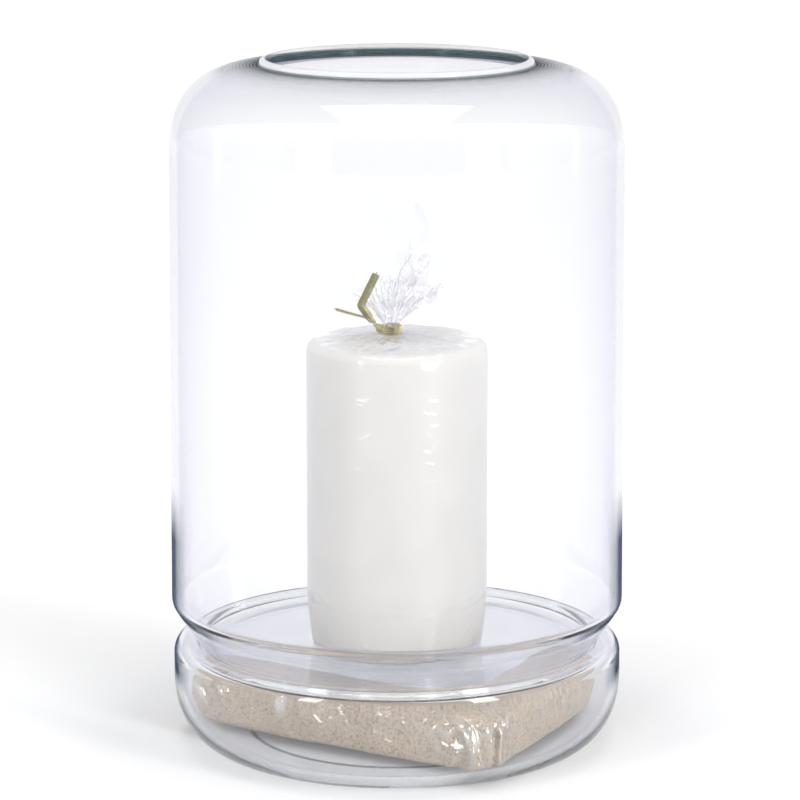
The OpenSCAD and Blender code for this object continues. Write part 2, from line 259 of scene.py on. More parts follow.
def add_node(tree, kind, inputs=None, **settings):
    """Adds a node, sets its own settings, and fills or links its inputs by name or number."""
    node = tree.nodes.new(kind)
    for name, value in settings.items():
        setattr(node, name, value)
    for name, value in (inputs or {}).items():
        socket = node.inputs[name]
        if isinstance(value, bpy.types.NodeSocket):
            tree.links.new(value, socket)
        elif socket.type == "RGBA" and len(value) == 3:
            socket.default_value = (*value, 1.0)
        else:
            socket.default_value = value
    return node


def new_object(name, content):
    obj = bpy.data.objects.new(name, content)
    bpy.context.scene.collection.objects.link(obj)
    return obj


def wire_mesh(name, points, closed=False):
    """A chain of edges through the points."""
    mesh = bpy.data.meshes.new(name)
    n = len(points)
    edges = [(i, (i + 1) % n) for i in range(n if closed else n - 1)]
    mesh.from_pydata([tuple(p) for p in points], edges, [])
    return mesh


def keep_numbers(mesh, name, values):
    """Keeps a number at each point of the mesh, for materials to read."""
    kept = mesh.attributes.new(name, "FLOAT", "POINT")
    kept.data.foreach_set("value", np.asarray(values, float).ravel())


def keep_directions(mesh, name, values):
    """Keeps a direction at each point of the mesh, for a tree to read."""
    kept = mesh.attributes.new(name, "FLOAT_VECTOR", "POINT")
    kept.data.foreach_set("vector", np.asarray(values, float).ravel())


def quads_of(grid, flip=False):
    """The faces between the neighbours in a grid of point numbers."""
    quads = np.stack([grid[:-1, :-1], grid[:-1, 1:], grid[1:, 1:], grid[1:, :-1]], -1)
    quads = quads.reshape(-1, 4)
    return quads[:, ::-1] if flip else quads


def faces_mesh(name, points, quads, material):
    """A smooth mesh from its points and faces."""
    mesh = bpy.data.meshes.new(name)
    mesh.from_pydata(points.tolist(), [], quads.tolist())
    mesh.materials.append(material)
    mesh.shade_smooth()
    mesh.validate()
    return mesh


def read_points(mesh, what="co"):
    """The place, or the normal, of every point of the mesh."""
    flat = np.empty(len(mesh.vertices) * 3)
    mesh.vertices.foreach_get(what, flat)
    return flat.reshape(-1, 3)


def set_points(mesh, points):
    mesh.vertices.foreach_set("co", np.asarray(points, float).ravel())
    mesh.update()


def applied(obj, name):
    """The object's mesh with its modifiers applied, on a new object; the old one goes."""
    bpy.context.view_layer.update()
    shown = obj.evaluated_get(bpy.context.evaluated_depsgraph_get())
    mesh = bpy.data.meshes.new_from_object(shown)
    mesh.name = name
    bpy.data.objects.remove(obj)
    return new_object(name, mesh)


def run_tree(obj, tree, name, **values):
    """Runs a Geometry Nodes tree on obj with its inputs set, and returns the plain result."""
    modifier = obj.modifiers.new("shape", "NODES")
    modifier.node_group = tree
    for item in tree.interface.items_tree:
        key = item.name.lower().replace(" ", "_")
        if item.in_out == "INPUT" and key in values:
            modifier[item.identifier] = values[key]
    return applied(obj, name)


def outward(obj):
    """Turns every face of a closed mesh to face out."""
    shell = bmesh.new()
    shell.from_mesh(obj.data)
    bmesh.ops.recalc_face_normals(shell, faces=shell.faces)
    shell.to_mesh(obj.data)
    shell.free()
    return obj


def noise_at(points, scale, seed):
    """Smooth noise from -1 to 1 at each point; scale is the size of a feature in metres."""
    shift = Vector((seed * 7.31, seed * 3.77, seed * 5.93))
    return np.array(
        [noise.fractal(Vector(p) / scale + shift, 0.9, 2.1, 1) for p in points.reshape(-1, 3)]
    ).reshape(points.shape[:-1])


def circle(radius, steps):
    """Points round a circle about the origin."""
    turns = np.linspace(0, 2 * math.pi, steps, endpoint=False)
    return [(radius * math.cos(a), radius * math.sin(a)) for a in turns]


def unit(vectors):
    """The vectors at a length of 1."""
    return vectors / np.linalg.norm(vectors, axis=1)[:, None]


def stands_for(piece, node, body):
    """Puts a piece in a CAD node's place: on its body, and hides the node."""
    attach(piece, body)
    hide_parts(node)


# ---------------------------------------------------------------- geometry node trees


def new_tree(name, *inputs):
    """A Geometry Nodes tree with the named inputs; returns the tree and its input node."""
    tree = bpy.data.node_groups.new(name, "GeometryNodeTree")
    tree.interface.new_socket("Geometry", in_out="INPUT", socket_type="NodeSocketGeometry")
    for label, kind, default in inputs:
        socket = tree.interface.new_socket(label, in_out="INPUT", socket_type=kind)
        if default is not None:
            socket.default_value = default
    tree.interface.new_socket("Geometry", in_out="OUTPUT", socket_type="NodeSocketGeometry")
    return tree, add_node(tree, "NodeGroupInput")


def end_tree(tree, group_in, geometry):
    """Ends a tree in Realize Instances and Set Material."""
    real = add_node(tree, "GeometryNodeRealizeInstances", {"Geometry": geometry})
    dressed = add_node(
        tree,
        "GeometryNodeSetMaterial",
        {"Geometry": real.outputs[0], "Material": group_in.outputs["Material"]},
    )
    add_node(tree, "NodeGroupOutput", {"Geometry": dressed.outputs[0]})


def revolve_tree():
    """Turns a section, drawn as edges with X outwards and -Y upwards, about the Z axis."""
    tree, group_in = new_tree(
        "Revolve section",
        ("Steps Around", "NodeSocketInt", 192),
        ("Pivot Radius", "NodeSocketFloat", 0.01),
        ("Material", "NodeSocketMaterial", None),
    )
    section = add_node(tree, "GeometryNodeMeshToCurve", {"Mesh": group_in.outputs["Geometry"]})
    back = product(tree, group_in.outputs["Pivot Radius"], -1.0)
    shift = add_node(tree, "ShaderNodeCombineXYZ", {"X": back})
    moved = add_node(
        tree,
        "GeometryNodeTransform",
        {"Geometry": section.outputs[0], "Translation": shift.outputs[0]},
    )
    around = {
        "Resolution": group_in.outputs["Steps Around"],
        "Radius": group_in.outputs["Pivot Radius"],
    }
    ring = add_node(tree, "GeometryNodeCurvePrimitiveCircle", around)
    upright = add_node(
        tree, "GeometryNodeSetCurveNormal", {"Curve": ring.outputs[0]}, mode="Z_UP"
    )
    swept = add_node(
        tree,
        "GeometryNodeCurveToMesh",
        {"Curve": upright.outputs[0], "Profile Curve": moved.outputs[0]},
    )
    merged = add_node(
        tree, "GeometryNodeMergeByDistance", {"Geometry": swept.outputs[0], "Distance": 1e-6}
    )
    smooth = add_node(tree, "GeometryNodeSetShadeSmooth", {"Geometry": merged.outputs[0]})
    end_tree(tree, group_in, smooth.outputs[0])
    return tree


def sweep_tree():
    """Carries a closed section along paths, turned so that its X follows "across"."""
    tree, group_in = new_tree(
        "Sweep section",
        ("Section", "NodeSocketObject", None),
        ("Material", "NodeSocketMaterial", None),
    )
    path = add_node(tree, "GeometryNodeMeshToCurve", {"Mesh": group_in.outputs["Geometry"]})
    across = add_node(
        tree, "GeometryNodeInputNamedAttribute", {"Name": "across"}, data_type="FLOAT_VECTOR"
    )
    turned = add_node(tree, "GeometryNodeSetCurveNormal", {"Curve": path.outputs[0]}, mode="FREE")
    tree.links.new(across.outputs[0], turned.inputs["Normal"])
    drawn = add_node(tree, "GeometryNodeObjectInfo", {"Object": group_in.outputs["Section"]})
    section = add_node(tree, "GeometryNodeMeshToCurve", {"Mesh": drawn.outputs["Geometry"]})
    swept = add_node(
        tree,
        "GeometryNodeCurveToMesh",
        {"Curve": turned.outputs[0], "Profile Curve": section.outputs[0], "Fill Caps": True},
    )
    smooth = add_node(tree, "GeometryNodeSetShadeSmooth", {"Geometry": swept.outputs[0]})
    end_tree(tree, group_in, smooth.outputs[0])
    return tree


def revolved(name, section, steps, material, tree):
    """A closed solid of revolution from a list of (radius, height)."""
    drawn = wire_mesh(name + "_section", [(r, -z, 0) for r, z in section])
    line = new_object(drawn.name, drawn)
    return outward(run_tree(line, tree, name, steps_around=steps, material=material))


def swept(name, paths, section, material, tree):
    """A solid swept along paths; each path is (points, across)."""
    chain = bpy.data.meshes.new(name + "_path")
    points = np.concatenate([p for p, _ in paths])
    across = np.concatenate([a for _, a in paths])
    edges, first = [], 0
    for p, _ in paths:
        edges += [(first + i, first + i + 1) for i in range(len(p) - 1)]
        first += len(p)
    chain.from_pydata(points.tolist(), edges, [])
    keep_directions(chain, "across", across)
    drawn = wire_mesh(name + "_outline", [(x, y, 0) for x, y in section], closed=True)
    outline = new_object(drawn.name, drawn)
    line = new_object(chain.name, chain)
    made = run_tree(line, tree, name, section=outline, material=material)
    bpy.data.objects.remove(outline)
    return outward(made)


# ---------------------------------------------------------------- materials


def new_material(name):
    material = bpy.data.materials.new(name)
    material.use_nodes = True
    tree = material.node_tree
    tree.nodes.clear()
    return material, tree


def finish_material(tree, shader, volume=None):
    out = add_node(tree, "ShaderNodeOutputMaterial", {"Surface": shader})
    if volume is not None:
        tree.links.new(volume, out.inputs["Volume"])


def object_coords(tree):
    return add_node(tree, "ShaderNodeTexCoord").outputs["Object"]


def blend_colour(tree, factor, first, second):
    """Mixes two colours or colour sockets."""
    mix = add_node(tree, "ShaderNodeMix", {0: factor}, data_type="RGBA")
    for socket, value in ((mix.inputs[6], first), (mix.inputs[7], second)):
        if isinstance(value, bpy.types.NodeSocket):
            tree.links.new(value, socket)
        else:
            socket.default_value = (*value, 1.0)
    return mix.outputs[2]


def math_node(tree, operation, first, second=0.0, clamp=False):
    return add_node(
        tree, "ShaderNodeMath", {0: first, 1: second}, operation=operation, use_clamp=clamp
    ).outputs[0]


def product(tree, *factors):
    """Multiplies numbers or sockets."""
    out = factors[0]
    for factor in factors[1:]:
        out = math_node(tree, "MULTIPLY", out, factor)
    return out


def largest(tree, *values):
    """The largest of several sockets."""
    out = values[0]
    for value in values[1:]:
        out = math_node(tree, "MAXIMUM", out, value)
    return out


def dimmed(tint, share):
    """A colour at a share of its brightness."""
    return tuple(v * share for v in tint)


def pattern(tree, kind, scale, detail=0.0, where=None, **settings):
    """A noise or cell pattern on the piece; scale is how many features a metre has."""
    where = where or object_coords(tree)
    inputs = {"Vector": where, "Scale": scale, "Detail": detail}
    return add_node(tree, f"ShaderNodeTex{kind}", inputs, **settings)


def bumps(tree, height, strength, depth):
    """Turns a height pattern into small relief; depth is in metres."""
    inputs = {"Height": height, "Strength": strength, "Distance": depth}
    return add_node(tree, "ShaderNodeBump", inputs).outputs[0]


def principled(tree, **inputs):
    """A Principled shader with its inputs given in lower case."""
    named = {key.replace("_", " ").title().replace("Ior", "IOR"): v for key, v in inputs.items()}
    return add_node(tree, "ShaderNodeBsdfPrincipled", named).outputs[0]


def remap(tree, value, low, high, to_low=0.0, to_high=1.0):
    """Maps low..high to to_low..to_high and holds it there."""
    return add_node(
        tree,
        "ShaderNodeMapRange",
        {"Value": value, "From Min": low, "From Max": high, "To Min": to_low, "To Max": to_high},
    ).outputs[0]


def lower_wall(tree, g, height, radius, facing):
    """1 up the vessel's lower wall and on the bowl's upper corner, seen edge on, where a darker
    tint is painted as shade.
    """
    outer = min(g.vessel_radius, g.bowl_radius)
    return product(
        tree,
        remap(tree, height, g.edge_shade_top, g.edge_shade_top - 20 * MM),
        remap(tree, height, g.edge_shade_foot, g.edge_shade_foot + 7 * MM),
        remap(tree, facing, 0.66, 0.84),
        remap(tree, radius, outer - 2.6 * MM, outer - 1.6 * MM),
    )


def lip_root(tree, g, height, radius, shape):
    """1 outside the lip, where the shoulder runs up to it, in faint rings where dark shade is
    painted.
    """
    close = remap(tree, radius, g.lip_radius + g.root_reach, g.lip_radius + 1.5 * MM)
    up = add_node(tree, "ShaderNodeSeparateXYZ", {0: shape.outputs["True Normal"]})
    ripple = math_node(tree, "SINE", product(tree, radius, math.tau / g.ripple))
    return product(
        tree,
        math_node(tree, "POWER", close, 1.5),
        over_shoulder(tree, g, height),
        remap(tree, height, g.top_z - 1.2 * MM, g.top_z - 1.8 * MM),
        remap(tree, up.outputs["Z"], 0.1, 0.4),
        math_node(tree, "SUBTRACT", 1.0, shape.outputs["Backfacing"]),
        remap(tree, ripple, -1.0, 1.0, 0.65, 1.0),
    )


def over_shoulder(tree, g, height):
    """1 on the vessel's shoulder and lip, and 0 lower down."""
    shoulder = g.top_z - g.lip_height - g.shoulder_height
    return remap(tree, height, shoulder - 30 * MM, shoulder - 20 * MM)


def foot_step(tree, g, height, radius):
    """1 on the little step where the bowl's underside rises inside its contact ring, where a dark
    line of shade is painted.
    """
    push = g.bowl_radius - g.corner_run - g.foot_land
    return product(
        tree,
        remap(tree, radius, push - 2 * MM, push - 1.2 * MM),
        remap(tree, radius, push + 0.6 * MM, push),
        remap(tree, height, g.push_height + 1 * MM, g.push_height + 0.2 * MM),
    )


def lip_window(tree, g, height, radius, shape):
    """How far rays go straight through the lip's inner edge and out of the glass round it,
    which would trap them and turn black."""
    inner = g.lip_radius - g.lip_thickness
    rim = remap(tree, radius, inner + 1.9 * MM, inner + 1.3 * MM, 0.0, 0.85)
    neck = remap(tree, radius, g.lip_radius + 14 * MM, g.lip_radius + 11 * MM, 0.0, 0.85)
    neck = product(tree, neck, shape.outputs["Backfacing"])
    return product(tree, largest(tree, rim, neck), over_shoulder(tree, g, height))


def painted_shade_places(tree, g, facing, tint, shade):
    """Paints shade into the two tints: a darker tint up the vessel's lower wall and on
    the bowl's upper corner edge on, dark rings round the root of the lip, and a dark line where the
    foot steps up.
    Also returns how far these places and the lip let rays straight through."""
    place = object_coords(tree)
    height = add_node(tree, "ShaderNodeSeparateXYZ", {0: place}).outputs["Z"]
    flat = {0: place, 1: (1.0, 1.0, 0.0)}
    flat = add_node(tree, "ShaderNodeVectorMath", flat, operation="MULTIPLY").outputs[0]
    radius = add_node(tree, "ShaderNodeVectorMath", {0: flat}, operation="LENGTH")
    radius = radius.outputs["Value"]
    shape = add_node(tree, "ShaderNodeNewGeometry")

    low = lower_wall(tree, g, height, radius, facing)
    root = lip_root(tree, g, height, radius, shape)
    step = foot_step(tree, g, height, radius)
    # Painted shade: the darker tint for the lower glass edge on, and the dark one for the rings and
    # the foot's step
    thick, dark = g.painted_edge_shade, g.painted_ring_shade
    tint = blend_colour(tree, low, tint, thick)
    tint = blend_colour(tree, root, tint, dark)
    tint = blend_colour(tree, step, tint, dark)
    shade = blend_colour(tree, low, shade, thick)
    shade = blend_colour(tree, root, shade, dark)
    straight = largest(tree, lip_window(tree, g, height, radius, shape), low, root)
    return tint, shade, straight


def clear_glass(g):
    """Clear pressed glass: white face on, lavender at grazing angles and teal through its
    thickness, so walls fade out and rims and corners draw the shape. Lamps and soft light
    reach what stands inside it."""
    material, tree = new_material("clear_glass")
    facing = add_node(tree, "ShaderNodeLayerWeight", {"Blend": 0.5}).outputs["Facing"]
    edge_on = math_node(tree, "POWER", facing, 2.6)
    tint = blend_colour(tree, edge_on, g.body_tint, g.edge_tint)
    shade = blend_colour(tree, edge_on, g.light_tint, g.veil_tint)
    # Painted shade on the lower glass edge on, round the lip's root and at the foot's step
    tint, shade, straight = painted_shade_places(tree, g, facing, tint, shade)
    glass = principled(
        tree, base_color=tint, specular_tint=tint, roughness=0.0, ior=1.5, transmission_weight=1.0
    )
    through = add_node(tree, "ShaderNodeBsdfTransparent", {"Color": shade}).outputs[0]
    path = add_node(tree, "ShaderNodeLightPath")
    lighting = (path.outputs["Is Shadow Ray"], path.outputs["Is Diffuse Ray"], straight)
    lighting = largest(tree, *lighting)
    shader = add_node(tree, "ShaderNodeMixShader", {0: lighting, 1: glass, 2: through})
    depth = {"Color": g.depth_tint, "Density": g.depth_density}
    depth = add_node(tree, "ShaderNodeVolumeAbsorption", depth)
    finish_material(tree, shader.outputs[0], depth.outputs[0])
    return material


def paraffin(c):
    """Poured paraffin: light sinks in and softens its edges; faint clouds and a fine
    orange-peel skin keep it from looking like plastic."""
    material, tree = new_material("paraffin_wax")
    cloud = pattern(tree, "Noise", 55.0, detail=3.0).outputs[0]
    peel = pattern(tree, "Noise", 420.0, detail=2.0).outputs[0]
    wax = principled(
        tree,
        base_color=blend_colour(tree, remap(tree, cloud, 0.35, 0.65), c.wax, c.wax_cloud),
        roughness=remap(tree, cloud, 0.3, 0.7, 0.42, 0.55),
        subsurface_weight=0.35,
        subsurface_radius=(6 * MM, 5.5 * MM, 5 * MM),
        subsurface_scale=1.0,
        normal=bumps(tree, peel, 0.12, 0.3 * MM),
    )
    finish_material(tree, wax)
    return material


def waxed_cotton(c):
    """Braided cotton soaked in wax: a cream core with fine fibre lines along the strand."""
    material, tree = new_material("waxed_cotton")
    fibre = pattern(tree, "Noise", 2600.0, detail=2.0).outputs[0]
    shaded = blend_colour(tree, remap(tree, fibre, 0.3, 0.7), dimmed(c.cotton, 0.72), c.cotton)
    cotton = principled(
        tree, base_color=shaded, roughness=0.7, normal=bumps(tree, fibre, 0.5, 0.1 * MM)
    )
    finish_material(tree, cotton)
    return material


# How each film looks: how much it covers face on and edge on, how strong its crinkles are
# where it lies smooth, their size and depth, and how much its creases cover with a painted white
# highlight
WRAP_FILM = {
    "haze": 0.1,
    "most": 0.75,
    "crinkle": 0.14,
    "crinkle_size": 7 * MM,
    "crinkle_depth": 0.5 * MM,
    "streak": 0.45,
}
BAG_FILM = {
    "haze": 0.09,
    "most": 0.45,
    "crinkle": 0.3,
    "crinkle_size": 9 * MM,
    "crinkle_depth": 0.7 * MM,
    "streak": 0.75,
}
FILM_LIGHT = linear("fdfdfe")


def clear_film(name, body, crease, haze, most, crinkle, crinkle_size, crinkle_depth, streak):
    """Thin clear film: it mirrors a little face on and much at grazing angles, so lamps
    streak along it, with a slight haze and fine crinkles. Its creases get a painted white highlight
    and more cover."""
    material, tree = new_material(name)
    where = object_coords(tree)
    warp = pattern(tree, "Noise", 90.0, detail=2.0, where=where)
    warped = {0: warp.outputs["Color"], 1: (6 * MM, 6 * MM, 6 * MM), 2: where}
    warped = add_node(tree, "ShaderNodeVectorMath", warped, operation="MULTIPLY_ADD").outputs[0]
    folds = pattern(tree, "Voronoi", 1 / crinkle_size, where=warped, feature="DISTANCE_TO_EDGE")
    ridge = remap(tree, folds.outputs["Distance"], 0.0, 0.12, 1.0, 0.0)
    kept = add_node(tree, "ShaderNodeAttribute", attribute_name="crease").outputs["Fac"]
    normal = bumps(tree, ridge, remap(tree, kept, 0.0, 0.4, crinkle, 0.6), crinkle_depth)
    film = principled(
        tree,
        # Painted highlight: the film turns white along its creases
        base_color=blend_colour(tree, product(tree, kept, 0.75), body, crease),
        metallic=0.7,
        roughness=0.14,
        normal=normal,
    )
    weight = add_node(tree, "ShaderNodeLayerWeight", {"Blend": 0.5, "Normal": normal})
    edge = math_node(tree, "POWER", weight.outputs["Facing"], 2.6)
    edge = remap(tree, edge, 0.0, 1.0, haze, most)
    cover = math_node(tree, "ADD", edge, product(tree, kept, streak), clamp=True)
    through = add_node(tree, "ShaderNodeBsdfTransparent", {"Color": FILM_LIGHT}).outputs[0]
    mixed = add_node(tree, "ShaderNodeMixShader", {0: cover, 1: through, 2: film})
    finish_material(tree, mixed.outputs[0])
    return material


def gold_foil(t):
    """Metallised foil with small dents from twisting, and a painted reflection: dark olive where
    it faces the eye, for the dark room it would mirror, and pale gold where it curves away."""
    material, tree = new_material("gold_foil")
    dents = pattern(tree, "Noise", 700.0, detail=2.0).outputs[0]
    normal = bumps(tree, dents, 0.35, 0.12 * MM)
    weight = add_node(tree, "ShaderNodeLayerWeight", {"Blend": 0.5, "Normal": normal})
    away = remap(tree, weight.outputs["Facing"], 0.05, 0.42)
    gold = blend_colour(tree, away, t.facing_shade, t.gold)
    foil = principled(tree, base_color=gold, metallic=1.0, roughness=0.22, normal=normal)
    finish_material(tree, foil)
    return material


def steel_wire(t):
    """Drawn steel wire: bright, with faint dull streaks where it was cut."""
    material, tree = new_material("steel_wire")
    streak = pattern(tree, "Noise", 1500.0, detail=2.0).outputs[0]
    steel = principled(
        tree,
        base_color=blend_colour(tree, streak, t.steel, dimmed(t.steel, 0.6)),
        metallic=1.0,
        roughness=remap(tree, streak, 0.3, 0.7, 0.25, 0.45),
    )
    finish_material(tree, steel)
    return material


def dry_sand(s):
    """Fine dry sand: tan with single dark and pale grains and slow drifts of tone, which
    read as grains rather than as clay. The grains are drawn at 0.7 mm, about twice their
    real size, so that they show."""
    material, tree = new_material("dry_sand")
    drift = pattern(tree, "Noise", 60.0, detail=3.0).outputs[0]
    grains = pattern(tree, "Voronoi", 1400.0)
    fine = pattern(tree, "Noise", 1300.0, detail=3.0).outputs[0]
    single = add_node(tree, "ShaderNodeSeparateColor", {"Color": grains.outputs["Color"]}).outputs
    tone = blend_colour(tree, remap(tree, drift, 0.3, 0.7), dimmed(s.sand, 0.84), s.sand)
    for share, grain in (
        (remap(tree, fine, 0.46, 0.7, 0.0, 0.4), s.dark_grain),
        (remap(tree, single[0], 0.72, 0.95, 0.0, 0.6), s.dark_grain),
        (remap(tree, single[1], 0.7, 0.98, 0.0, 0.6), s.pale_grain),
    ):
        tone = blend_colour(tree, share, tone, grain)
    normal = bumps(tree, grains.outputs["Distance"], 0.55, 0.3 * MM)
    sand = principled(tree, base_color=tone, roughness=0.85, normal=normal)
    finish_material(tree, sand)
    return material


# ---------------------------------------------------------------- glass


def arc(x, z, rx, rz, start, end, steps=12, power=2.0):
    """Points on an ellipse of half-sizes rx and rz about (x, z), from start to end degrees."""

    def rounded(value):
        return math.copysign(abs(value) ** (2 / power), value)

    turns = [math.radians(start + (end - start) * i / steps) for i in range(steps + 1)]
    return [(x + rx * rounded(math.cos(t)), z + rz * rounded(math.sin(t))) for t in turns]


def supported(section, reach=0.6 * MM, shortest=5 * MM):
    """Adds a point near each end of a long straight run, so that smooth shading keeps it flat."""
    out = [section[0]]
    for (x0, z0), (x1, z1) in zip(section, section[1:]):
        run = math.hypot(x1 - x0, z1 - z0)
        if run < 1e-7:
            continue
        if run > shortest:
            for share in (reach / run, 1 - reach / run):
                out.append((x0 + (x1 - x0) * share, z0 + (z1 - z0) * share))
        out.append((x1, z1))
    return out


def rim_bead(g):
    """Radius of the bowl's rounded rim, and its middle."""
    r = g.wall / 2
    return r, (g.bowl_radius - g.bowl_shoulder + r, g.bowl_height - r)


def bowl_section(g):
    """From the middle of the underside round to the middle of the floor."""
    foot = g.bowl_radius - g.corner_run
    push = foot - g.foot_land
    inner = g.bowl_radius - g.wall
    corner, (bead_r, bead) = g.bowl_corner, rim_bead(g)
    side, top = g.bowl_radius - corner, g.bowl_height - corner
    return (
        [(0, g.push_height), (push - g.push_height, g.push_height), (push, 0)]
        + arc(foot, g.corner_rise, g.bowl_radius - foot, g.corner_rise, -90, 0, 36)
        + arc(side, top, corner, corner, 0, 90, 14)
        + arc(*bead, bead_r, bead_r, 90, 270, 16)
        + arc(side, top, corner - g.wall, corner - g.wall, 90, 0, 10)
        + arc(foot, g.corner_rise, inner - foot, g.corner_rise - g.bowl_floor, 0, -90, 36)
        + [(0, g.bowl_floor)]
    )


def vessel_section(g):
    """From the middle of the foot, up the outside, over the lip and down to the floor."""
    slope = math.degrees(g.seat_angle)
    cos, sin = math.cos(g.seat_angle), math.sin(g.seat_angle)
    bead_r, bead = rim_bead(g)
    cone = bead[0] * cos - bead[1] * sin - bead_r - g.seat_gap
    shoulder_top = g.top_z - g.lip_height
    shoulder_z = shoulder_top - g.shoulder_height
    floor_z = g.foot_z + g.vessel_floor
    lip_inner = g.lip_radius - g.lip_thickness
    fillet, soft = 1.6 * MM, 1.5 * MM

    def heel(r, z, inset):
        return (cone - inset - r + (z + r) * sin) / cos, z + r, r, r

    def knee(r, wall_r, inset):
        return wall_r - r, ((wall_r - r) * cos - (cone - inset - r)) / sin, r, r

    def shoulder(foot_r, wall_r, height, start, end):
        wide = wall_r - g.taper - foot_r
        return arc(foot_r, shoulder_z, wide, height, start, end, 44, g.shoulder_power)

    inner = g.vessel_radius - g.wall
    half_lip = g.lip_thickness / 2
    return (
        [(0, g.foot_z)]
        + arc(*heel(g.heel, g.foot_z, 0), -90, -slope, 12)
        + arc(*knee(g.knee, g.vessel_radius, 0), -slope, 0, 10)
        + shoulder(g.lip_radius, g.vessel_radius, g.shoulder_height, 0, 84)
        + arc(g.lip_radius + fillet, shoulder_top + fillet / 2, fillet, fillet / 2, 270, 180, 8)
        + arc(g.lip_radius - half_lip, g.top_z - half_lip, half_lip, half_lip, 0, 180, 20)
        + arc(lip_inner + soft, shoulder_top - g.wall + soft, soft, soft, 180, 270, 8)
        + shoulder(lip_inner + soft, inner, g.shoulder_height - g.wall, 84, 0)
        + arc(*knee(g.knee - g.wall, inner, g.wall), 0, -slope, 8)
        + arc(*heel(g.heel - 2 * MM, floor_z, g.wall), -slope, -90, 10)
        + [(0, floor_z)]
    )


class LANTERN_OT_glass(Operator):
    """Build the vessel and the bowl"""

    bl_idname = "lantern.glass"
    bl_label = "Glass"

    def execute(self, context):
        g = context.scene.lantern_glass
        tree, glass = revolve_tree(), clear_glass(g)
        vessel = revolved("glass_vessel", supported(vessel_section(g)), g.steps, glass, tree)
        bowl = revolved("glass_bowl", supported(bowl_section(g)), g.steps, glass, tree)
        for piece in (vessel, bowl):
            if len(piece.data.polygons) < g.steps * 20:
                raise RuntimeError(f"{piece.name} has too few faces")
        stands_for(vessel, "hurricane_vessel", "vessel")
        stands_for(bowl, "base_bowl", "base")
        return {"FINISHED"}


# ---------------------------------------------------------------- candle


def wax_section(c):
    """From the middle of the foot, up the side and over the edge to the wick's small well."""
    fillet = 0.8 * MM
    side = c.radius - c.draw - fillet
    drawn = [
        (c.radius - c.draw * (1 - t) ** 2, c.foot_z + fillet + (c.draw_height - fillet) * t)
        for t in np.linspace(0.1, 1, 10)
    ]
    return (
        [(0, c.foot_z), (side, c.foot_z)]
        + arc(side, c.foot_z + fillet, fillet, fillet, -90, 0, 5)
        + drawn
        + arc(c.radius - c.edge, c.top_z - c.edge, c.edge, c.edge, 0, 90, 12)
        + [(c.wick_radius * 3.4, c.top_z - 0.1 * MM), (c.wick_radius * 1.3, c.top_z - 0.5 * MM)]
        + [(0, c.top_z - 0.6 * MM)]
    )


def wick_paths(c):
    """Three strands plaited round a core that comes out of the wax and lies down on it."""
    r = c.wick_radius
    core = [Vector((0, 0, c.top_z - 4 * MM + 0.5 * MM * i)) for i in range(9)]
    core += [
        Vector((-1.1 * r * (1 - math.cos(a)), 0, c.top_z + 1.2 * r * math.sin(a)))
        for a in np.linspace(0.15, math.pi / 2, 8)
    ]
    last = core[-1]
    core += [last + Vector((-t * (c.wick_fold - 1.1 * r), 0, 0)) for t in np.linspace(0.06, 1, 26)]
    core = np.array(core)
    along = unit(np.gradient(core, axis=0))
    side = np.tile([0.0, 1.0, 0.0], (len(core), 1))
    up = np.cross(side, along)
    paths = []
    for strand in range(3):
        turn = np.linspace(0, 9 * math.pi, len(core)) + strand * 2 * math.pi / 3
        out = np.cos(turn)[:, None] * side + np.sin(turn)[:, None] * up
        paths.append((core + out * r * 0.48, out))
    return paths


class LANTERN_OT_candle(Operator):
    """Build the wax pillar and its wick"""

    bl_idname = "lantern.candle"
    bl_label = "Candle"

    def execute(self, context):
        c = context.scene.lantern_candle
        wax = revolved("wax_pillar", supported(wax_section(c)), 128, paraffin(c), revolve_tree())
        strand = circle(c.wick_radius * 0.5, 10)
        wick = swept("braided_wick", wick_paths(c), strand, waxed_cotton(c), sweep_tree())
        stands_for(wax, "candle_wax", "candle")
        stands_for(wick, "candle_wick", "candle")
        return {"FINISHED"}


# ---------------------------------------------------------------- candle wrap

# Rows of faces in each stretch of the film, from under the wax to the tips of the tuft
UNDER_ROWS, SIDE_ROWS, EDGE_ROWS, TOP_ROWS, NECK_ROWS, TUFT_ROWS = 7, 52, 9, 34, 7, 64
TOP_START = UNDER_ROWS + SIDE_ROWS + EDGE_ROWS
TUFT_START = TOP_START + TOP_ROWS + NECK_ROWS
# Share of a turn by which the pleats swirl on their way to the neck
SWIRL = 0.07
# Tips of the film above the neck: direction in degrees, then sideways, depth and height in
# millimetres from the middle of the neck
TUFT_TIPS = [
    (5, 17, 2, 13), (28, 13, 4, 27), (55, 9, 6, 18), (80, 7, 4, 32), (108, 1, 8, 17),
    (138, -5, 7, 21), (165, -14.8, 4, 12), (200, -8, 1, 9), (232, -7, -3.5, 17),
    (262, -1, -6, 13), (290, 5, -7, 20), (318, 11, -5, 13), (342, 20, -1, 18.5),
]


def round_table(turn, table):
    """Reads a table of (degrees, values...) at each turn in degrees, smoothly and all round."""
    table = np.array(table, float)
    keys = np.concatenate([table[-1:, 0] - 360, table[:, 0], table[:1, 0] + 360])
    rows = np.concatenate([table[-1:], table, table[:1]])[:, 1:]
    spot = np.clip(np.searchsorted(keys, turn, side="right") - 1, 0, len(keys) - 2)
    share = (turn - keys[spot]) / (keys[spot + 1] - keys[spot])
    share = (share * share * (3 - 2 * share))[:, None]
    return rows[spot] * (1 - share) + rows[spot + 1] * share


